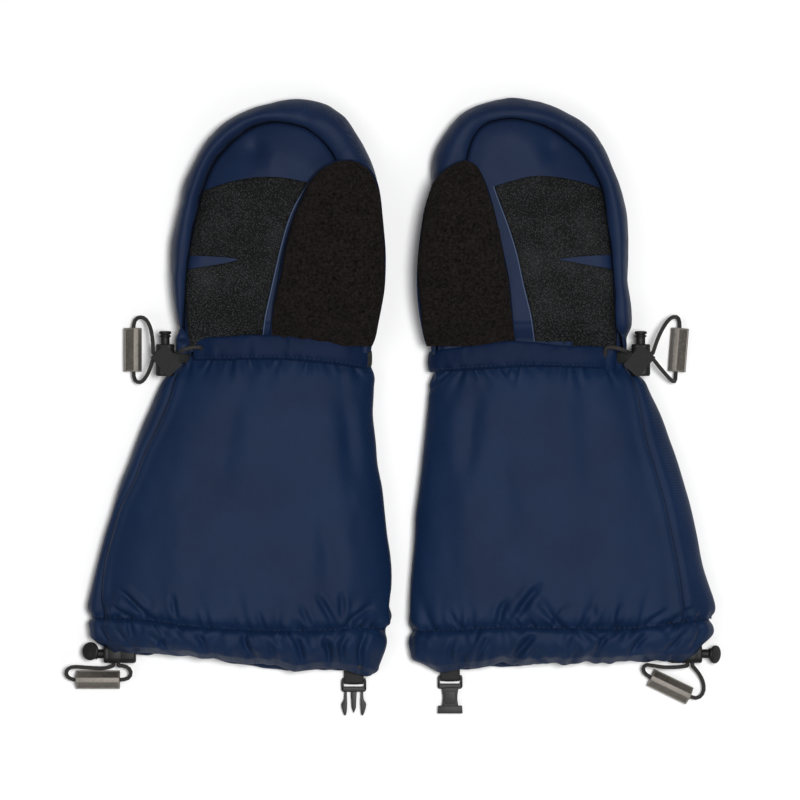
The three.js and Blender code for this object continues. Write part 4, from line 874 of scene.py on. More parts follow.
STUBS = []
for side in ("right", "left"):
    sp = SPEC[side]
    for kind in ("wrist", "hem"):
        b = sp[kind + "Bead"]
        c = np.array([float(gx(b[0])), float(gy(b[1])), b[2]])
        d = np.array([math.cos(b[3]), math.sin(b[3]), b[4]])
        start, end = ((WL[0] - LOCK_W/2 - 1.35, WCY + 1.3, WL[2]), (WL[0] - LOCK_W/2 - 1.35, WCY - 1.3, WL[2])) if kind == "wrist" else \
                     ((HCX - 1.3, HL[1] - LOCK_W/2 - 1.35, HL[2]), (HCX + 1.3, HL[1] - LOCK_W/2 - 1.35, HL[2]))
        P = lambda q: (float(gx(q[0])), float(gy(q[1])), q[2])
        pts = [start] + [P(q) for q in sp[kind + "1"]] + [tuple(c + d * k * BEAD_L) for k in (-0.54, -0.25, 0, 0.25, 0.54)] + [P(q) for q in sp[kind + "2"]] + [end]
        cp, length = catmull(pts, 38)
        cu = bpy.data.curves.new(f"{side}_{kind}_loop_cord", "CURVE"); cu.dimensions = "3D"
        s_ = cu.splines.new("POLY"); s_.points.add(len(cp) - 1)
        for i, q in enumerate(cp): s_.points[i].co = (*world(q, side), 1)
        s_.use_smooth = True
        cu.bevel_depth = CORD_R / 1000; cu.bevel_resolution = 5; cu.use_fill_caps = True
        ob = bpy.data.objects.new(f"{side}_{kind}_loop_cord", cu); bpy.context.scene.collection.objects.link(ob)
        cu.materials.append(CORD)
        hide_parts(f"{side}_{kind}_cord_loop"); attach(ob, f"{side}_{kind}_loop")
        bead = bead_obj(f"{side}_{kind}_bead_cast", side, c, d, 0.2 if kind == "wrist" else 0.5, f"{side}_{kind}_toggle", f"{side}_{kind}_bead")
        # the last millimetres of each leg, held in the lock
        for j_, (e_, q_) in enumerate(((start, cp[1]), (end, cp[-2]))):
            u_ = np.array([3.2, 0, 0]) if kind == "wrist" else np.array([0, 3.2, 0])
            out_ = (np.array(q_) - np.array(e_)) / np.linalg.norm(np.array(q_) - np.array(e_))
            STUBS.append((f"{side}_{kind}_cord_leg_{j_ + 1}", [tuple(np.array(e_) + u_), tuple(np.array(e_) + u_ * 0.4), tuple(e_), tuple(np.array(e_) + out_ * 0.5)], side))


# ------------------------------------------------------------------ the hand: padded back that rolls over the edge, flat palm inside it
NS, NA = 66, 150   # samples up each side, and round the top


def resample(poly, yw, y0, n1=NS, n2=NA):
    k = int(np.argmax(poly[:, 1]))
    left, right = poly[:k + 1], poly[k:][::-1]
    Lx = lambda y: np.interp(y, left[:, 1], left[:, 0]); Rx = lambda y: np.interp(y, right[:, 1], right[:, 0])
    ys = np.linspace(yw, y0, n1, endpoint=False)
    arc = [(Lx(y0), y0)] + [p for p in poly if p[1] > y0] + [(Rx(y0), y0)]
    arc = np.array(arc)
    s = np.concatenate([[0], np.cumsum(np.linalg.norm(np.diff(arc, axis=0), axis=1))])
    q = np.linspace(0, s[-1], n2)
    arc = np.stack([np.interp(q, s, arc[:, 0]), np.interp(q, s, arc[:, 1])], 1)
    return np.vstack([np.stack([Lx(ys), ys], 1), arc, np.stack([Rx(ys), ys], 1)[::-1]])


def outline(Lrows, Rrows):
    pts = [(float(gx(u)), float(gy(v))) for v, u in sorted(Lrows, key=lambda q: -q[0])] + [(float(gx(u)), float(gy(v))) for v, u in sorted(Rrows, key=lambda q: q[0])]
    return smooth_poly(pts, 3)


def medial(A, ycap):
    n = len(A); M = np.zeros_like(A)
    m = (A + A[::-1]) / 2
    k = np.argmax(m[:, 1] > ycap) if (m[:, 1] > ycap).any() else n // 2
    for i in range(n):
        j = min(i, n - 1 - i)
        M[i] = m[j] if j < k else (m[k][0], ycap)
    return M


def weld_obj(o, dist=0.02):
    b = bmesh.new(); b.from_mesh(o.data)
    bmesh.ops.remove_doubles(b, verts=b.verts, dist=dist / 1000)
    bmesh.ops.dissolve_degenerate(b, dist=dist / 2000, edges=b.edges)
    bmesh.ops.recalc_face_normals(b, faces=b.faces)
    b.to_mesh(o.data); b.free()
    o.data.polygons.foreach_set("use_smooth", np.ones(len(o.data.polygons), bool))


hand_bot = tab([(20, 5.4), (34, 4.8), (40, 3.4), (50, 1.2), (60, 0.1), (80, 0), (110, 0), (132, 0), (144, 1.4), (152, 4.0), (156.5, 7)])
hand_mid = tab([(20, 11), (50, 11), (80, 11.5), (130, 11.5), (150, 12), (156.5, 12.5)])
thumb_top = tab([(22, 25.2), (28, 26.4), (32, 28.3), (36, 31.4), (42, 35.2), (50, 38.8), (60, 41.8), (72, 43.7), (88, 44.3), (102, 43.9), (112, 42.2), (119, 39.6), (124, 36.5)])
thumb_bot = tab([(22, 24.0), (32, 25.8), (38, 27.3), (46, 28.1), (60, 28.8), (100, 29.4), (124, 31.5)])
thumb_mid = tab([(22, 24.6), (32, 26.8), (38, 28.8), (46, 31.2), (60, 33.2), (100, 34.0), (124, 34)])
WRIST = lambda o, side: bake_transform(o)
PALM = {}


def build_hand(side):
    t = T[side]; p = side + "_"; seed = 2.7 if side == "right" else 7.3
    A = resample(outline(t["handL"], t["handR"]), 23.0, 108.0)
    seam_poly = smooth_poly([(float(gx(u)), float(gy(v))) for u, v in t["seam"]], 3)
    B = resample(seam_poly, 25.0, 103.0)
    n = len(A)
    M = medial(A, 112.0)
    # depth of the fold under the rim: deepest on the outer side of the top
    ang = np.linspace(0, 1, n)
    cxm = (B[:, 0].min() + B[:, 0].max()) / 2
    deep = np.zeros(n)
    for i in range(n):
        x, y = B[i]
        side_w = 1 - sm(cxm - 20, cxm + 12, x)
        top_w = sm(70, 112, y)
        deep[i] = 2.7 + (5.4 * top_w * side_w + 1.6 * sm(112, 132, y)) * t["rimdeep"]
    if side == "right":
        deep += 1.6 * sm(116, 134, B[:, 1]) * sm(cxm - 5, cxm + 12, B[:, 0])
    w = np.linalg.norm(A - B, axis=1)
    rows = []
    # underneath, from the middle out
    for f in np.linspace(1, 0, 30) ** 1.5:
        Pxy = A + (M - A) * f
        d = np.linalg.norm(Pxy - A, axis=1)
        q = np.clip(d / 10.0, 0, 1)
        zm, zb = hand_mid(A[:, 1]), hand_bot(Pxy[:, 1])
        z = zm - (zm - zb) * (1 - (1 - q) ** 2.5) ** (1 / 2.5)
        rows.append((np.column_stack([Pxy, z]), -1.0, f))
    nb = len(rows)
    # over the edge to the seam
    for k in np.linspace(0, 1, 30)[1:]:
        if k < 0.62:
            ph = k / 0.62 * math.pi / 2
            f = 0.56 * (1 - math.cos(ph)) ** 0.95; up = math.sin(ph) ** 0.86; dn = 0.0
        else:
            q = (k - 0.62) / 0.38
            f = 0.56 + 0.47 * math.sin(q * math.pi / 2); up = 1.0; dn = 1 - math.cos(q * math.pi / 2) ** 1.0
        Pxy = A + (B - A) * f
        zt = hand_top(Pxy[:, 1]); zm = hand_mid(A[:, 1])
        z = zm + (zt - zm) * up - deep * dn
        rows.append((np.column_stack([Pxy, z]), 1.0, k))
    # tucked under
    for q in (0.35, 0.7, 1.0):
        Pxy = B + (A - B) * (0.02 + 0.25 * q * np.clip(4 / w, 0, 1))[:, None] - (B - A) * 0.03
        z = hand_top(B[:, 1]) - deep - 1.6 * q
        rows.append((np.column_stack([Pxy, z]), 1.0, 1.0))
    G = np.array([r[0] for r in rows]); par = np.array([r[2] for r in rows]); sg = np.array([r[1] for r in rows])
    nrm = grid_normals(G)
    if (nrm[nb + 8, :, 2]).mean() < 0: nrm = -nrm
    x, y, z = G[..., 0], G[..., 1], G[..., 2]
    rim = (sg > 0)[:, None] * np.sin(np.pi * np.clip(par, 0, 1))[:, None]
    g = fbm(x, y, z, 17, 2, seed) * 0.7 + fbm(x, y, z, 6.5, 2, seed + 1) * 0.28
    # soft creases across the rolled edge where it goes round the top
    tang = np.cumsum(np.r_[0, np.linalg.norm(np.diff(A, axis=0), axis=1)])
    cre = fbm(tang[None, :] * np.ones_like(x), z * 0.25, z * 0, 8.0, 2, seed + 4)
    g = g + rim * 0.5 * cre
    pinch = np.exp(-((par - 0.985) / 0.05) ** 2)[:, None] * (sg > 0)[:, None]
    g = g - 0.35 * pinch + pinch * 0.35 * fbm(tang[None, :] * np.ones_like(x), x * 0, x * 0, 3.4, 1, seed + 6)
    # gathered at the wrist
    gw = fbm(x * 1.0, y * 0.15, z * 1.0, 5.0, 2, seed + 8)
    g = g + (0.8 * gw - 0.5) * np.exp(-np.maximum(y - 33, 0) / 7.0)
    # drop where the outline runs inside the casing
    g = g * np.clip((y - 20) / 8, 0.2, 1) - 2.9 * (1 - sm(31, 39, y))
    G2 = G + nrm * g[..., None]
    G2[..., 2] = np.maximum(G2[..., 2], 0.1)
    # the innermost row stays put so both halves weld
    G2[0] = G[0]
    G2[0, :, 2] = (G2[0, :, 2] + G2[0, ::-1, 2]) / 2
    o = mk(p + "hand_back_fabric", G2, grid_faces(len(G2), n), side, None, NAVY_HAND, nodes=[p + "hand_back_shell"], subsurf=1)
    weld_obj(o); WRIST(o, side)

    # palm
    Mp = medial(B, 106.0)
    rows = []
    ks = np.r_[0, np.linspace(0.02, 1, 46) ** 1.15]
    cen = hand_top(40) + 0.4
    for f in ks:
        Pxy = B + (Mp - B) * f
        if f == 0: Pxy = B + (A - B) * 0.30 * np.clip(3.5 / w, 0, 1)[:, None]
        d = np.linalg.norm(Pxy - B, axis=1) * (f > 0)
        lam = 5.0 + 1.9 * (deep - 2.7)
        q = np.clip(d / (lam * 1.7), 0, 1)
        zs = hand_top(B[:, 1]) - deep - 1.0
        zc = 26.3 + 0.5 * np.sin(np.clip((Pxy[:, 1] - 30) / 100, 0, 1) * math.pi)
        zc = np.where(Pxy[:, 1] < 40, np.minimum(zc, hand_top(Pxy[:, 1]) - 0.3), zc) - 2.4 * (1 - sm(30, 38, Pxy[:, 1]))
        zc = zc - 3.4 * sm(98, 140, Pxy[:, 1]) * t["rimdeep"]
        z = zs + np.maximum(zc - zs, 0.0) * (1 - (1 - q) ** 2.1) - 1.9 * np.exp(-(d / 1.1) ** 2)
        rows.append(np.column_stack([Pxy, z]))
    G = np.array(rows)
    x, y, z = G[..., 0], G[..., 1], G[..., 2]
    tb = np.cumsum(np.r_[0, np.linalg.norm(np.diff(B, axis=0), axis=1)])
    e = np.linalg.norm(G[..., :2] - B[None], axis=2)
    g = 0.45 * fbm(x, y * 0.7, z * 0, 20, 2, seed + 11) + 0.18 * fbm(x, y, z * 0, 7, 2, seed + 12)
    g = g + 0.7 * fbm(tb[None, :] * np.ones_like(x), e * 0.25, x * 0, 6.0, 2, seed + 13) * np.exp(-e / 5.0)
    dx, dy = x - float(gx(255)), y - float(gy(150))
    g = g - 1.5 * np.exp(-(np.hypot(dx, dy * 0.8) / 4.2) ** 2) + 0.7 * np.exp(-((np.hypot(dx, dy * .8) - 9) / 5) ** 2) * (t["rimdeep"] > 0.9)
    G[..., 2] = z + g
    G[-1, :, 2] = (G[-1, :, 2] + G[-1, ::-1, 2]) / 2
    o = mk(p + "palm_panel_fabric", G, grid_faces(len(G), n), side, None, NAVY_HAND, nodes=[p + "palm_panel"], subsurf=1)
    weld_obj(o); WRIST(o, side)
    # the seam that runs down in the fold under the rim, drawn as a near-black tube: painted shadow of the crease along
    # the seam's line
    zs_ = hand_top(B[:, 1]) - deep - 1.1
    keep_ = B[:, 1] > 34
    line_ = np.column_stack([B[:, 0], B[:, 1], zs_])[keep_]
    o = tube_mesh(p + "rim_crease_shadow_seam", line_[::2], 0.75, side, None, CREASE_SHADOW_THREAD, (), seg=8); WRIST(o, side)
    # facing for the ray casts below, in drafting mm
    V = [tuple(q) for q in G.reshape(-1, 3)]
    PALM[side] = (BVHTree.FromPolygons([Vector(q) for q in V], grid_faces(len(G), n)), seed)

    # lining: the same bag a few millimetres in, closed over the top
    rows = []
    for f in np.linspace(1, 0, 14) ** 1.4:
        Ai = A + (M - A) / np.maximum(np.linalg.norm(M - A, axis=1), 1)[:, None] * 4.6
        Pxy = Ai + (M - Ai) * f
        d = np.linalg.norm(Pxy - Ai, axis=1); q = np.clip(d / 8.0, 0, 1)
        zm, zb = hand_mid(A[:, 1]), hand_bot(Pxy[:, 1]) + 2.2
        rows.append(np.column_stack([Pxy, zm - (zm - zb) * (1 - (1 - q) ** 2.5) ** (1 / 2.5)]))
    for f in (np.linspace(0, 1, 14) ** 1.4)[1:]:
        Pxy = Ai + (M - Ai) * f
        d = np.linalg.norm(Pxy - Ai, axis=1); q = np.clip(d / 10.0, 0, 1)
        zm, zt = hand_mid(A[:, 1]), np.minimum(hand_top(Pxy[:, 1]) - 12.5, 13.5)
        rows.append(np.column_stack([Pxy, zm + (zt - zm) * (1 - (1 - q) ** 2.5) ** (1 / 2.5)]))
    G = np.array(rows)
    G[..., 2] += 0.4 * fbm(G[..., 0], G[..., 1], G[..., 2], 8, 2, seed)
    o = mk(p + "hand_lining_knit", G, grid_faces(len(G), n), side, None, LINING, nodes=[p + "hand_lining"])
    weld_obj(o); WRIST(o, side)


def build_patch(side):
    t = T[side]; p = side + "_"; bvh, seed = PALM[side]
    c = lambda pts: [(float(gx(u)), float(gy(v))) for u, v in pts]
    low, notch, up, top, right = (np.array(c(t[k])) for k in ("patch_left_low", "notch", "patch_left_up", "patch_top", "patch_right"))
    sp = lambda q, n=2: smooth_poly(q, n)
    right = right.copy()
    right[-1] = right[-1] + (right[-1] - right[-2]) * 0.3
    low2 = low.copy(); low2[0, 1] -= 2
    loop = np.vstack([sp(low2)[:-1], notch[:-1], sp(up)[:-1], sp(top)[:-1], sp(right)])
    # even spacing
    closed = np.vstack([loop, loop[:1]])
    s = np.concatenate([[0], np.cumsum(np.linalg.norm(np.diff(closed, axis=0), axis=1))])
    nbd = int(s[-1] / 1.0); q = np.linspace(0, s[-1], nbd, endpoint=False)
    bd = np.stack([np.interp(q, s, closed[:, 0]), np.interp(q, s, closed[:, 1])], 1)
    xs, ys = np.meshgrid(np.arange(bd[:, 0].min(), bd[:, 0].max(), 1.05), np.arange(bd[:, 1].min(), bd[:, 1].max(), 1.05))
    pts = np.stack([xs.ravel(), ys.ravel()], 1) + rng.uniform(-0.22, 0.22, (xs.size, 2))
    # keep those inside and clear of the edge
    inside = np.zeros(len(pts), bool)
    j = len(bd) - 1
    for i in range(len(bd)):
        xi, yi = bd[i]; xj, yj = bd[j]
        cnd = ((yi > pts[:, 1]) != (yj > pts[:, 1])) & (pts[:, 0] < (xj - xi) * (pts[:, 1] - yi) / (yj - yi + 1e-12) + xi)
        inside ^= cnd; j = i
    D, _, _ = seg_dist(pts[:, 0], pts[:, 1], np.vstack([bd, bd[:1]]))
    pts = pts[inside & (D > 0.6)]; D = D[inside & (D > 0.6)]
    allp = [Vector(q) for q in np.vstack([bd, pts])]
    r = delaunay_2d_cdt(allp, [], [list(range(len(bd)))], 1, 1e-5)
    vs = np.array([list(v) for v in r[0]]); faces = [tuple(f) for f in r[2]]
    # the solver may merge near points: map the border again
    Dv, _, _ = seg_dist(vs[:, 0], vs[:, 1], np.vstack([bd, bd[:1]]))
    z = np.zeros(len(vs))
    for i, v in enumerate(vs):
        hit = bvh.ray_cast(Vector((v[0], v[1], 60)), Vector((0, 0, -1)))
        z[i] = hit[0].z if hit[0] is not None else np.nan
    ok = ~np.isnan(z)
    if not ok.all():
        for i in np.where(~ok)[0]:
            k = np.argmin(np.hypot(*(vs[ok] - vs[i]).T)); z[i] = z[ok][k]
    e = np.clip(Dv / 1.1, 0, 1)
    zt = z + 0.30 + 0.75 * np.sqrt(1 - (1 - e) ** 2)
    zt += 0.13 * fbm(vs[:, 0], vs[:, 1], z * 0, 1.5, 2, seed) * e + 0.12 * rng.normal(0, 1, len(vs)) * e * 0.6
    # sewn down a little way in from the edge
    zt -= 0.45 * np.exp(-((Dv - 2.3) / 0.55) ** 2)
    V = np.column_stack([vs, zt]).tolist()
    # turned edge: copy of the rim pushed into the palm
    edge_count = {}
    for f in faces:
        for a, b in zip(f, f[1:] + f[:1]): edge_count[(a, b)] = 1
    border = [(a, b) for (a, b) in edge_count if (b, a) not in edge_count]
    m = {}
    for a, b in border:
        for q in (a, b):
            if q not in m:
                m[q] = len(V); V.append([vs[q][0], vs[q][1], z[q] - 0.5])
    F = faces + [(b, a, m[a], m[b]) for a, b in border]
    o = mk(p + "grip_patch_granular", V, F, side, None, PATCH, nodes=[p + "grip_patch"])
    b2 = bmesh.new(); b2.from_mesh(o.data); bmesh.ops.recalc_face_normals(b2, faces=b2.faces); b2.to_mesh(o.data); b2.free()
    WRIST(o, side)

    def on_palm(line, lift):
        out = []
        for q in line:
            h = bvh.ray_cast(Vector((q[0], q[1], 60)), Vector((0, 0, -1)))
            if h[0] is not None: out.append((q[0], q[1], h[0].z + lift))
        return out
    def dense(line, step=0.8):
        s = np.concatenate([[0], np.cumsum(np.linalg.norm(np.diff(line, axis=0), axis=1))]); q = np.arange(0, s[-1], step)
        return np.stack([np.interp(q, s, line[:, 0]), np.interp(q, s, line[:, 1])], 1)
    rr = dense(sp(right, 3))
    pip = on_palm(rr + np.array([0.55, 0.0]), 0.45)
    o = tube_mesh(p + "grip_patch_piping", pip[::2], 0.3, side, None, PIPING, (), seg=8); WRIST(o, side)
    # lines of stitching round the patch
    tp = dense(sp(top, 3)); o = stitches(p + "patch_stitch_top", on_palm(tp - np.array([0, 2.3]), 0.95), side, None, BLACK_THREAD, 2.2, 1.5, 0.2); WRIST(o, side)
    o = stitches(p + "patch_stitch_side", on_palm(rr - np.array([2.2, 0]), 0.95), side, None, BLACK_THREAD, 2.2, 1.5, 0.2); WRIST(o, side)
    nn = dense(notch); o = stitches(p + "patch_stitch_notch_low", on_palm(dense(notch[:5]) - np.array([0, 1.7]), 0.95), side, None, BLACK_THREAD, 2.2, 1.5, 0.2); WRIST(o, side)
    o = stitches(p + "patch_stitch_notch_high", on_palm(dense(notch[6:][::-1]) + np.array([0, 1.7]), 0.95), side, None, BLACK_THREAD, 2.2, 1.5, 0.2); WRIST(o, side)
    return


def build_thumb(side):
    t = T[side]; p = side + "_"; seed = 4.4 if side == "right" else 9.8
    A = resample(outline(t["thumbL"], t["thumbR"]), 27.6, 95.0, 60, 110)
    n = len(A); M = medial(A, 92.0)
    BL = lambda o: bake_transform(o)
    zmid = thumb_mid(A[:, 1])
    half = np.linalg.norm(A - M, axis=1)

    def rows(up, fs, inset=0.0, drop=0.0):
        out = []
        for f in fs:
            Ai = A + (M - A) * np.clip(inset / np.maximum(half, 1), 0, 0.6)[:, None]
            Pxy = Ai + (M - Ai) * f
            q = f
            if up:
                zt = thumb_top(Pxy[:, 1]) - drop
                z = zmid + (zt - zmid) * (1 - (1 - q) ** 2.25) ** (1 / 2.1)
            else:
                zb = thumb_bot(Pxy[:, 1]) + drop
                z = zmid - (zmid - zb) * (1 - (1 - q) ** 3.0) ** (1 / 2.4)
            out.append(np.column_stack([Pxy, z]))
        return np.array(out)
    fs = 1 - np.cos(np.linspace(0, 1, 44) * math.pi / 2)
    G = rows(True, fs)
    # bring the fleece a little way under the edge
    under = rows(False, [0.06, 0.02])
    under[..., :2] = under[..., :2] + (M - A)[None] * 0.01
    G = np.concatenate([under, G])
    nrm = grid_normals(G)
    if nrm[20, :, 2].mean() < 0: nrm = -nrm
    x, y, z = G[..., 0], G[..., 1], G[..., 2]
    fz = 0.9 * fbm(x, y, z, 13, 2, seed) + 0.42 * fbm(x, y, z, 4.2, 2, seed + 2) + 0.30 * fbm(x, y, z, 1.7, 2, seed + 5)
    k = np.clip((y - 26) / 9, 0.1, 1)
    e = np.zeros(len(G))[:, None]
    ee = np.array([0.0, 0.0] + list(fs))[:, None] * half[None]
    fz = fz * k - 0.55 * np.exp(-(ee / 0.9) ** 2)
    G2 = G + nrm * fz[..., None]
    G2[-1] = G[-1]; G2[-1, :, 2] = (G2[-1, :, 2] + G2[-1, ::-1, 2]) / 2
    o = mk(p + "thumb_fleece_pile", G2, grid_faces(len(G2), n), side, None, FLEECE, nodes=[p + "thumb_fleece"], subsurf=1)
    weld_obj(o); BL(o)
    G = rows(False, np.r_[0, np.linspace(0.02, 1, 24)])
    G[..., 2] += 0.3 * fbm(G[..., 0], G[..., 1], G[..., 2], 8, 2, seed) * np.clip(np.r_[0, np.linspace(0, 1, 24)], 0, 1)[:, None]
    G[-1, :, 2] = (G[-1, :, 2] + G[-1, ::-1, 2]) / 2
    o = mk(p + "thumb_underside_fabric", G, grid_faces(len(G), n), side, None, NAVY_HAND, nodes=[p + "thumb_underside"], subsurf=1)
    weld_obj(o); BL(o)
    G = np.concatenate([rows(False, np.linspace(1, 0.0, 10), 2.6, 2.2), rows(True, np.linspace(0.05, 1, 12), 2.6, 2.4)])
    zm_ = thumb_mid(G[..., 1])
    keep = G.copy(); keep[..., 2] = zm_ + (G[..., 2] - zm_) * (0.04 + 0.86 * sm(40, 58, G[..., 1]))
    o = mk(p + "thumb_lining_knit", keep, grid_faces(len(keep), n), side, None, LINING, nodes=[p + "thumb_lining"])
    weld_obj(o); BL(o)


# ------------------------------------------------------------------ wrist casings, drawcord
def casing_grid(side, front, nx_=110, ring=26):
    t = T[side]
    L, R = side_table(t["cuffL"]), side_table(t["cuffR"])
    topf, botf = poly_table(t["cas_top"]), poly_table(t["cas_bot"])
    a, b = (float(gx(q)) for q in t["cas"])
    xs = np.linspace(a, b, nx_)
    seed = (1.9 if side == "right" else 6.1) + (0 if front else 3)
    P = np.zeros((nx_, ring, 3))
    for i, x in enumerate(xs):
        yt, yb = float(topf(x)), float(botf(x))
        ym = 27.0
        Ly, Ry = float(L(ym)), float(R(ym))
        th = float(theta_of_x(x, Ly, Ry))
        # surface under the casing and its slope
        e = 0.02
        xr, zr = superring(Ly, Ry, 25.0, 4.2, 11.5, np.array([th - e, th, th + e]) if front else -np.array([th - e, th, th + e]))
        slope = np.array([xr[2] - xr[0], zr[2] - zr[0]]); slope /= np.linalg.norm(slope)
        nv = np.array([-slope[1], slope[0]])
        if (nv[1] < 0) == front: nv = -nv
        base = np.array([xr[1], zr[1]])
        yc, hy = (yt + yb) / 2, (yt - yb) / 2
        hy *= 1.0
        for k in range(ring):
            w = 2 * math.pi * k / ring
            c, s = math.cos(w), math.sin(w)
            yy = yc + hy * math.copysign(abs(c) ** 0.55, c)
            hh = math.copysign(abs(s) ** 0.8, s)
            # cord runs in the middle: a soft ridge
            ridge = 0.55 * math.exp(-((yy - yc) / 2.4) ** 2)
            off = 2.35 + (1.35 + (ridge if s > 0 else 0)) * hh
            P[i, k] = (base[0] + nv[0] * off, yy, base[1] + nv[1] * off)
        wv = fbm(np.array([x]), np.array([0.0]), np.array([0.0]), 11, 2, seed)[0]
        wf = fbm(np.full(ring, x), P[i, :, 1] * 0.6, np.zeros(ring), 4.6, 2, seed + 2)
        ga = gathers(np.full(ring, x), np.maximum(P[i, :, 1] - yb, 0), seed + 0.4, 8.0, (0.7, 1.5), (3, 7), (0.4, 1.1), 0.5) + 0.5 * gathers(np.full(ring, x), np.maximum(yt - P[i, :, 1], 0), seed + 0.8, 12.0, (1.0, 2.2), (2, 6), (0.3, 0.9), 0.5)
        up_ = np.array([math.sin(2 * math.pi * k / ring) > 0 for k in range(ring)]) * 1.0
        P[i, :, 2] += (0.75 * wv + 0.45 * wf + 0.9 * ga * up_) * (1 if front else -0.5)
        # the lower edge is pulled down onto the gathers, the upper edge stands off the hand
        low = np.exp(-((P[i, :, 1] - yb) / 1.6) ** 2)
        P[i, :, 2] -= 0.9 * low * (1 if front else -1)
        P[i, :, 1] += 0.35 * fbm(np.full(ring, x), np.zeros(ring), P[i, :, 2] * 0.1, 9, 2, seed + 5)
    return P, xs


def build_casings(side):
    p = side + "_"; t = T[side]
    for front, node in ((True, "wrist_casing_palm"), (False, "wrist_casing_back")):
        P, xs = casing_grid(side, front)
        n, ring = P.shape[:2]
        cen = P.mean(1, keepdims=True)
        inner = cen + (P - cen) * np.array([1, 0.88, 0.55])
        shell = np.concatenate([inner[[4]], inner[[0]] + 0.0, P, inner[[-1]], inner[[-5]]])
        # mouth of the channel at either end
        o = mk(p + node + "_fabric", shell, grid_faces(len(shell), ring, wrap=True), side, p + "cuff", NAVY_CASING_SHADED, nodes=[p + node], subsurf=1)
        b2 = bmesh.new(); b2.from_mesh(o.data); bmesh.ops.recalc_face_normals(b2, faces=b2.faces); b2.to_mesh(o.data); b2.free()
        # stitching along the lower edge
        k = int(np.argmin(np.abs((P[n // 2, :, 1] - P[n // 2, :, 1].min()) - 1.8) + (P[n // 2, :, 2] < cen[n // 2, 0, 2]) * 100 * (1 if front else -1) + (0 if front else 100 * (P[n//2, :, 2] > cen[n//2, 0, 2]))))
        line = P[2:-2, k] + np.array([0, 0, 0.12 if front else -0.12])
        stitches(p + node + "_stitch", line, side, p + "cuff", THREAD, 2.4, 1.6, 0.2)
    # drawcord: lock, palm channel, round the thumb side, back channel, lock
    L, R = side_table(t["cuffL"]), side_table(t["cuffR"])
    Ly, Ry = float(L(27.0)), float(R(27.0))
    pts = [(WL[0], WCY + 1.3, WL[2]), (WL[0] + LOCK_W / 2 + 1, WCY + 1.3, WL[2]), (float(gx(178)), float(gy(352.5)), WL[2] + 3.2), (float(gx(183.5)), float(gy(350.2)), 27.5), (float(gx(190)), float(gy(348.2)), 28.3), (float(gx(196)), float(gy(347.2)), 27.6), (float(gx(201)), float(gy(347.5)), 26.6)]
    topf, botf = poly_table(t["cas_top"]), poly_table(t["cas_bot"])
    for th in np.linspace(2.45, 0.35, 14):
        x, z = superring(Ly, Ry, 25.0, 4.2, 11.5, np.array([th])); x, z = float(x[0]), float(z[0])
        y = (float(topf(x)) + float(botf(x))) / 2
        pts.append((x, y, z + 1.9))
    for th in np.linspace(0.25, -0.9, 6):
        x, z = superring(Ly + 0.2, Ry - 0.2, 25.0, 4.2, 11.5, np.array([th])); pts.append((float(x[0]) + 0.6, 23.5, float(z[0])))
    for th in np.linspace(-1.1, -2.75, 10):
        x, z = superring(Ly, Ry, 25.0, 4.2, 11.5, np.array([th])); pts.append((float(x[0]), 23.5, float(z[0]) - 1.4))
    pts += [(WL[0] + 8.2, WCY - 2.0, WL[2] - 4.5), (WL[0] + LOCK_W / 2 + 1.2, WCY - 1.5, WL[2] - 1.0), (WL[0] + 1, WCY - 1.3, WL[2])]
    tube_mesh(p + "wrist_drawcord_braid", pts, 1.1, side, p + "cuff", CORD, [p + "wrist_drawcord"], seg=12)
    # bunched elastic between the two channels on the thumb side
    V, rows_ = [], 34
    G = np.zeros((rows_, 16, 3))
    ths = np.linspace(0.62, -0.75, rows_)
    for i, th in enumerate(ths):
        x, z = superring(Ly, Ry, 25.2, 4.2, 11.5, np.array([th])); x, z = float(x[0]), float(z[0])
        nvx, nvz = math.cos(th * 0.9), math.sin(th * 0.9)
        yc = (float(topf(min(x, gx(363)))) + float(botf(min(x, gx(363))))) / 2 - 0.3
        rib = 0.42 * math.cos(i * math.pi)
        for k in range(16):
            w = 2 * math.pi * k / 16
            G[i, k] = (x + nvx * (0.3 + (1.0 + rib * 0.5) * math.sin(w)), yc + (4.4 + rib) * math.copysign(abs(math.cos(w)) ** 0.5, math.cos(w)), z + nvz * (0.3 + (1.0 + rib * 0.5) * math.sin(w)))
    mk(p + "wrist_elastic", G, grid_faces(rows_, 16, wrap=True), side, p + "cuff", WEB, subsurf=1)


def build_hem_stitch(side):
    t = T[side]; p = side + "_"
    L, R = side_table(t["cuffL"]), side_table(t["cuffR"]); stitch = poly_table(t["stitch"])
    for front in (True, False):
        ths = even_theta(0.12, math.pi - 0.12, 150) * (math.pi - 0.24) + 0.12
        y = np.full(150, -116.0)
        for _ in range(3):
            x, z = superring(L(y), R(y), cuff_top(y), cuff_bot(y), cuff_mid(y), ths if front else -ths)
            y = stitch(x)
        off = -0.75
        z = z + (off if front else -off)
        pts = np.column_stack([x, y + 0.2, z])
        stitches(p + ("hem_stitch_front" if front else "hem_stitch_back"), pts, side, p + "cuff", THREAD, 2.6, 1.7, 0.22)


# ------------------------------------------------------------------ hardware
def rounded_rect(w, d, r, seg=6):
    out = []
    for cx, cy, a0 in ((w - r, d - r, 0), (-w + r, d - r, math.pi/2), (-w + r, -d + r, math.pi), (w - r, -d + r, 1.5 * math.pi)):
        for k in range(seg + 1):
            a = a0 + k / seg * math.pi / 2
            out.append((cx + r * math.cos(a), cy + r * math.sin(a)))
    return out


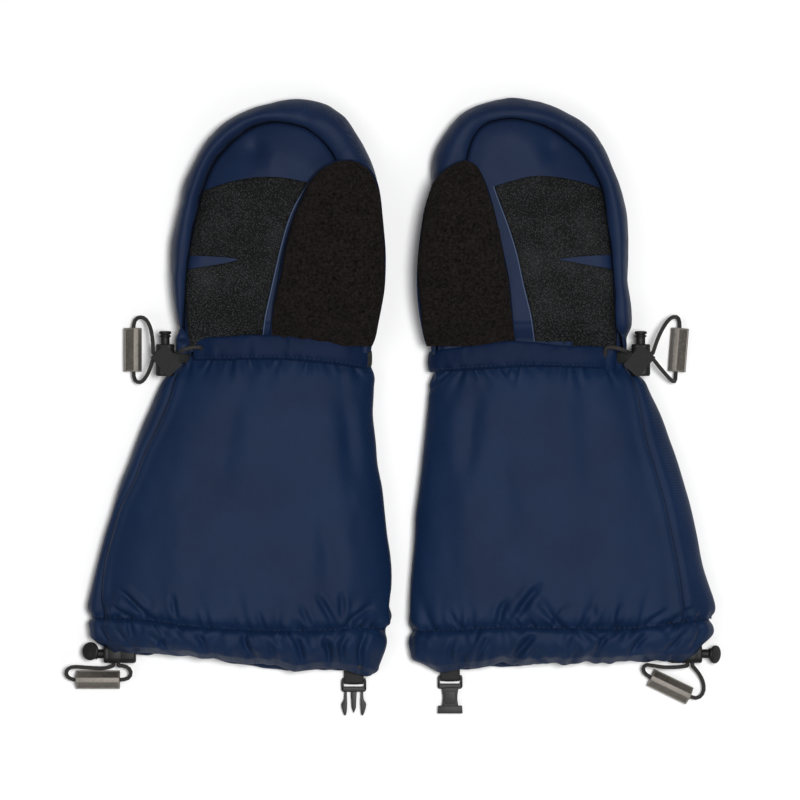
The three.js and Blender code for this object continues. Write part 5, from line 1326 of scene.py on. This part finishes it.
def cut(o, bm, place=None):
    """take a shape, in drafting mm, out of a finished piece"""
    me = bpy.data.meshes.new("cutter")
    bmesh.ops.recalc_face_normals(bm, faces=bm.faces)
    bm.to_mesh(me); bm.free()
    c = bpy.data.objects.new("cutter", me); bpy.context.scene.collection.objects.link(c)
    m = o.modifiers.new("cut", "BOOLEAN"); m.object = c; m.operation = "DIFFERENCE"; m.solver = "EXACT"
    dg = bpy.context.evaluated_depsgraph_get()
    new = bpy.data.meshes.new_from_object(o.evaluated_get(dg), depsgraph=dg)
    o.modifiers.remove(m)
    old = o.data; o.data = new
    bpy.data.meshes.remove(old)
    bpy.data.objects.remove(c); bpy.data.meshes.remove(me)


def build_lock(side, kind):
    p = side + "_" + kind + "_"
    ang = 0.0 if kind == "wrist" else math.pi / 2
    base = np.array(WL if kind == "wrist" else HL)
    ca, sa = math.cos(ang), math.sin(ang)
    Rm = np.array([[ca, -sa, 0], [sa, ca, 0], [0, 0, 1]])
    place = lambda q: q @ Rm.T + base
    # barrel: cross-section in x, z; height along y
    rr = rounded_rect(LOCK_W / 2, 4.0, 3.0)
    prof = [(0.0, 0.86), (0.35, 0.95), (1.1, 1.0), (7.0, 1.0), (7.5, 0.955), (8.1, 0.955), (8.6, 1.0), (13.6, 1.0), (14.0, 0.96), (14.5, 0.96), (14.9, 1.0), (15.9, 0.98), (16.4, 0.90)]
    bm = bmesh.new(); rings = []
    for h, s in prof: rings.append([bm.verts.new((x * s, h, z * s)) for x, z in rr])
    inner = [[bm.verts.new((x * 0.62, h, z * 0.66)) for x, z in rr] for h in (16.4, 2.1)]
    seq = rings + inner
    for a, b in zip(seq[:-1], seq[1:]):
        for k in range(len(rr)):
            bm.faces.new((a[k], a[(k+1) % len(rr)], b[(k+1) % len(rr)], b[k]))
    bm.faces.new(seq[0]); bm.faces.new(seq[-1])
    o = bm_obj(bm, p + "lock_barrel", side, place, side + "_cuff", PLASTIC, nodes=[p + "lock_body"])
    # cord way, right through
    cb = bmesh.new()
    slot_o = rounded_rect(2.7, 1.5, 1.45, 5)
    sg = -1 if side == "left" else 1
    n = len(slot_o)
    lo, hi = [], []
    for (yy, zz) in slot_o:
        for xx, store in ((-12, lo), (12, hi)):
            q = place(np.array([[xx, CORD_Y0 + yy, zz]]))[0]
            store.append(cb.verts.new((sg * q[0] / 1000, (q[1] + SHIFT) / 1000, q[2] / 1000)))
    cb.faces.new(lo); cb.faces.new(hi)
    for i in range(n): cb.faces.new((lo[i], lo[(i+1) % n], hi[(i+1) % n], hi[i]))
    cut(o, cb)
    bevel(o, 0.22, 2, 0.7)
    # plunger
    if kind == "hem":
        # broad ribbed thumb pad on the button
        bm = lathe_bm([(0, -1.3), (2.4, -1.3), (4.3, -1.0), (4.85, -0.5), (5.0, 0.1), (4.85, 0.6), (4.4, 0.95), (3.9, 1.05)] + [(3.9 - 0.3 * k, 1.05 + 0.02 * k) for k in range(1, 13)] + [(0, 1.3)], 72)
        for v in bm.verts:
            rr_ = math.hypot(v.co.x, v.co.z)
            if v.co.y > 0.9 and rr_ < 4.2: v.co.y += 0.11 * math.cos(v.co.x * 2 * math.pi / 1.25)
        nrm_ = Vector(PADN[side]).normalized()
        Q = np.array(Vector((0, 1, 0)).rotation_difference(nrm_).to_matrix())
        cc = np.array(PADC[side])
        for v in bm.verts: v.co.x *= 0.95; v.co.z *= 0.95
        pad = bm_obj(bm, p + "lock_thumb_pad", side, lambda q: q @ Q.T + cc, side + "_hem_button", PLASTIC)
    prof = [(0, 6.3), (2.3, 6.3), (2.45, 6.6), (2.45, 7.2)] + [(2.45, 15.8), (2.3, 16.2), (2.3, 19.9), (2.9, 20.3), (2.9, 20.9), (2.3, 21.2), (2.3, 21.5)] + ([(2.9, 21.6), (3.15, 21.85), (3.15, 22.5), (2.9, 22.95), (2.3, 23.15), (1.4, 23.0), (0, 22.95)] if kind == "wrist" else [(2.2, 22.6), (1.6, 22.9), (0, 22.9)])
    bm = lathe_bm(prof, 40)
    o = bm_obj(bm, p + "lock_button", side, place, side + "_" + kind + "_button", PLASTIC, nodes=[p + "lock_plunger"])
    o = bevel(o, 0.12, 2, 0.7)
    # spring: two open turns, pressed flat between the barrel's floor and the button
    hel = np.array([(1.85 * math.cos(a), 2.45 + (6.0 - 2.45) * a / (4 * math.pi), 1.85 * math.sin(a)) for a in np.linspace(0, 4 * math.pi, 40)])
    sp_ = tube_mesh(p + "lock_spring_wire", place(hel), 0.15, side, None, STEEL, [p + "lock_spring"], seg=6)
    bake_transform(sp_)


def ribbed_strip(name, centre_pts, width, thick, side, body, nodes=(), ribs=9, across=False):
    """narrow webbing: lengthwise ribs, or crosswise ones, modelled"""
    c = np.array(centre_pts, float)
    s = np.concatenate([[0], np.cumsum(np.linalg.norm(np.diff(c, axis=0), axis=1))])
    n = max(int(s[-1] / 0.3), 12); q = np.linspace(0, s[-1], n)
    c = np.stack([np.interp(q, s, c[:, k]) for k in range(3)], 1)
    for _ in range(3):
        c[1:-1] = (c[:-2] + 2 * c[1:-1] + c[2:]) / 4
    tan = np.gradient(c, axis=0); tan /= np.linalg.norm(tan, axis=1, keepdims=True)
    sidev = None
    m = 56
    G = []
    for i in range(n):
        d = tan[i]
        sv = ribbed_strip.sv if ribbed_strip.sv is not None else np.array([-d[1], d[0], 0.0])
        sv = sv / np.linalg.norm(sv)
        nv = np.cross(sv, d); nv /= np.linalg.norm(nv)
        row = []
        for k in range(m):
            w = 2 * math.pi * k / m
            cx, sx = math.cos(w), math.sin(w)
            u = width / 2 * math.copysign(abs(cx) ** 0.35, cx)
            if across:
                rib = 0.24 * math.cos(q[i] * 2 * math.pi / 1.5)
            else:
                rib = 0.15 * math.cos(u / width * 2 * math.pi * ribs)
            h = (thick / 2 + rib) * math.copysign(abs(sx) ** 0.45, sx)
            edge = 0.14 * math.cos(q[i] * 2 * math.pi / 1.0) * (abs(cx) > 0.97)
            row.append(c[i] + sv * (u + math.copysign(edge, cx)) + nv * h)
        G.append(row)
    G = np.array(G)
    V = G.reshape(-1, 3)
    F = grid_faces(n, m, wrap=True) + [tuple(range(m))[::-1], tuple((n - 1) * m + k for k in range(m))]
    o = mk(name, V, F, side, body, WEB, nodes=nodes)
    b2 = bmesh.new(); b2.from_mesh(o.data); bmesh.ops.recalc_face_normals(b2, faces=b2.faces); b2.to_mesh(o.data); b2.free()
    return o


ribbed_strip.sv = None


def build_tab(side):
    p = side + "_"
    tz = WL[2] + 4.0 + 0.6 + 0.35
    g = lambda u, v, z: (float(gx(u)), float(gy(v)), z)
    ribbed_strip.sv = None
    ribbed_strip(p + "wrist_lock_tab_webbing", [g(158.5, 351, tz), g(165.5, 359, tz), g(171.5, 366, tz), g(176, 371.2, tz - 0.2)], 10.0, 1.1, side, p + "cuff", [p + "wrist_lock_tab"], across=True)
    # its sewn end, let into the side seam
    ribbed_strip(p + "wrist_lock_tab_root", [g(167, 359.5, tz - 0.9), g(173, 358.5, tz - 1.3), g(179, 357.5, tz - 2.6), g(184, 357.5, tz - 4.9), g(188, 358, tz - 7.6)], 5.4, 0.9, side, p + "cuff", (), across=False, ribs=5)


BK_Z, BAR_R, BK_HALF, BK_T, WEB_W = 2.7, 0.9, 6.45, 3.2, 10.0


def build_buckle(side):
    p = side + "_"
    at = (float(gx(353.5)), float(gy(682))) if side == "right" else (float(gx(806 - 450.5)), float(gy(679)))
    ln = 6.1 if side == "right" else 5.0
    base = np.array([at[0], at[1], BK_Z])
    place = lambda q: q + base
    MT = BUCKLE if side == "right" else BUCKLE_LIGHTER
    body = side + "_buckle"
    # webbing folded round the bar and up under the hem
    r = BAR_R + 0.9
    path = [(0, ln, 1.15)] + [(0, 1.0, 1.55)] + [(0, -math.sin(a) * r, math.cos(a) * r) for a in np.linspace(0.05, math.pi - 0.05, 12)] + [(0, 1.0, -1.55), (0, ln, -1.15)]
    ribbed_strip.sv = np.array([1.0, 0, 0])
    ribbed_strip(p + "buckle_webbing_ribbed", [tuple(np.array(q) + base) for q in path], WEB_W, 1.1, side, side + "_buckle_strap", [p + "buckle_webbing"])
    ribbed_strip.sv = None
    # bar ladder: two rails, bar, cross
    def piece(bm, name, bod, nodes=(), w=0.45):
        o = bm_obj(bm, name, side, place, bod, MT, nodes=nodes, smooth=False)
        bevel(o, w, 3, 0.5)
        o.data.polygons.foreach_set("use_smooth", np.ones(len(o.data.polygons), bool))
        return o
    frame_out = rounded_rect(BK_HALF, 3.55, 1.5, 5)
    frame_in = rounded_rect(BK_HALF - 1.15, 1.75, 0.7, 4)
    fo = [(x, y - 2.65) for x, y in frame_out]; fi = [(x, y - 1.75) for x, y in frame_in]
    if side == "right":
        bm = prism_bm(fo, -1.55, 1.55, fi)
        piece(bm, p + "buckle_frame", body, [p + "buckle_tongue"])
        bm = prism_bm([(-1.55, -5.2), (-1.1, -14.5), (0, -17.3), (1.1, -14.5), (1.55, -5.2)], -0.8, 0.8)
        piece(bm, p + "buckle_guide", body, w=0.3)
        bar = lathe_bm([(0, -BK_HALF + 0.4), (BAR_R, -BK_HALF + 0.4), (BAR_R, BK_HALF - 0.4), (0, BK_HALF - 0.4)], 24)
        bmesh.ops.rotate(bar, verts=bar.verts, cent=(0, 0, 0), matrix=Matrix.Rotation(math.pi / 2, 3, "Z"))
        piece(bar, p + "buckle_bar", body, w=0.1)
        lat = smooth_poly([(3.6, -5.6), (4.95, -5.6), (4.9, -8.0), (5.1, -10.4), (6.45, -12.2), (6.35, -13.8), (6.0, -15.4), (4.9, -18.4), (4.3, -18.5), (3.8, -17.6), (3.5, -14.5), (3.45, -11), (3.6, -8)], 1)
        for nm, sx, bod in (("inner", 1, p + "latch_inner"), ("outer", -1, p + "latch_outer")):
            bm = prism_bm([(sx * x, y) for x, y in (lat if sx < 0 else lat[::-1])], -1.2, 1.2)
            piece(bm, p + f"buckle_arm_{nm}", bod, [p + f"buckle_latch_{nm}"], 0.32)
    else:
        bm = prism_bm(fo, -1.55, 1.55, fi)
        piece(bm, p + "buckle_frame", body, [p + "buckle_socket"])
        bar = lathe_bm([(0, -BK_HALF + 0.4), (BAR_R, -BK_HALF + 0.4), (BAR_R, BK_HALF - 0.4), (0, BK_HALF - 0.4)], 24)
        bmesh.ops.rotate(bar, verts=bar.verts, cent=(0, 0, 0), matrix=Matrix.Rotation(math.pi / 2, 3, "Z"))
        piece(bar, p + "buckle_bar", body, w=0.1)
        # waisted neck
        neck = smooth_poly([(-4.4, -5.4), (4.4, -5.4), (4.1, -7.5), (3.7, -10), (3.9, -13), (4.5, -15.6), (-4.5, -15.6), (-3.9, -13), (-3.7, -10), (-4.1, -7.5), (-4.4, -5.4)], 1)[:-1]
        bm = prism_bm([tuple(q) for q in neck], -2.1, 2.1)
        o = piece(bm, p + "buckle_socket_neck", body, w=0.4)
        bm = prism_bm([tuple(q) for q in rounded_rect(3.0, 3.3, 0.9, 5)], 0, 0.55)
        bmesh.ops.translate(bm, verts=bm.verts, vec=(0, -10.6, 1.75))
        piece(bm, p + "buckle_socket_pad", body, w=0.25)
        fl = [(-6.2, -15.0), (6.2, -15.0), (6.5, -18.9), (-6.5, -18.9)]
        hole = [(x, y) for x, y in fl]
        bm = prism_bm(fl, -2.2, 2.2)
        o = bm_obj(bm, p + "buckle_socket_mouth", side, place, body, MT, smooth=False)
        cb = box_bm(-5.3, 5.3, -30, -15.6, -1.45, 1.45)
        for v in cb.verts:
            q = place(np.array([list(v.co)]))[0]; v.co = Vector((-q[0] / 1000, (q[1] + SHIFT) / 1000, q[2] / 1000))
        cut(o, cb)
        bevel(o, 0.3, 3, 0.5); o.data.polygons.foreach_set("use_smooth", np.ones(len(o.data.polygons), bool))


# ------------------------------------------------------------------ make both
for side in ("right", "left"):
    build_cuff(side)
    build_hem(side)
    build_hem_stitch(side)
    build_hand(side)
    build_patch(side)
    build_thumb(side)
    build_casings(side)
    for kind in ("wrist", "hem"): build_lock(side, kind)
    build_tab(side)
    build_buckle(side)

for name_, pts_, side_ in STUBS:
    tube_mesh(name_, pts_, CORD_R, side_, side_ + "_cuff", CORD, ())

# ------------------------------------------------------------------ floor, light
fm, fnt, fb = new_mat("floor_paper")
v_ = coords(fnt, 1.0); fn = N(fnt, "ShaderNodeTexNoise", Scale=3.0, Detail=2.0); fnt.links.new(v_, fn.inputs["Vector"])
fnt.links.new(mixc(fnt, fn.outputs["Fac"], (0.97, 0.97, 0.97), (0.985, 0.985, 0.985)), fb.inputs["Base Color"])
fb.inputs["Roughness"].default_value = 0.9; fb.inputs["Specular IOR Level"].default_value = 0.1
fme = bpy.data.meshes.new("floor"); fme.from_pydata([(-3, -3, -0.0002), (3, -3, -0.0002), (3, 3, -0.0002), (-3, 3, -0.0002)], [], [(0, 1, 2, 3)])
floor = bpy.data.objects.new("floor", fme); bpy.context.scene.collection.objects.link(floor); fme.materials.append(fm)


def area(name, loc, size, power, target=(0, 0, 0.02), col=(1, 1, 1)):
    l = bpy.data.lights.new(name, "AREA"); l.shape = "DISK"; l.size = size; l.energy = power; l.color = col
    o = bpy.data.objects.new(name, l); bpy.context.scene.collection.objects.link(o)
    o.location = loc
    o.rotation_euler = (Vector(target) - Vector(loc)).to_track_quat("-Z", "Y").to_euler()
    return o


area("key", (0.26, 0.06, 2.1), 0.45, 36.5)
area("fill", (-0.7, -0.2, 1.7), 0.9, 3.4)
area("front", (0.2, -0.9, 1.4), 0.7, 2.0)
w = bpy.data.worlds.new("world") if bpy.context.scene.world is None else bpy.context.scene.world
bpy.context.scene.world = w; w.use_nodes = True
w.node_tree.nodes["Background"].inputs[0].default_value = (1, 1, 1, 1); w.node_tree.nodes["Background"].inputs[1].default_value = 0.135
bpy.context.scene.view_settings.view_transform = "Standard"
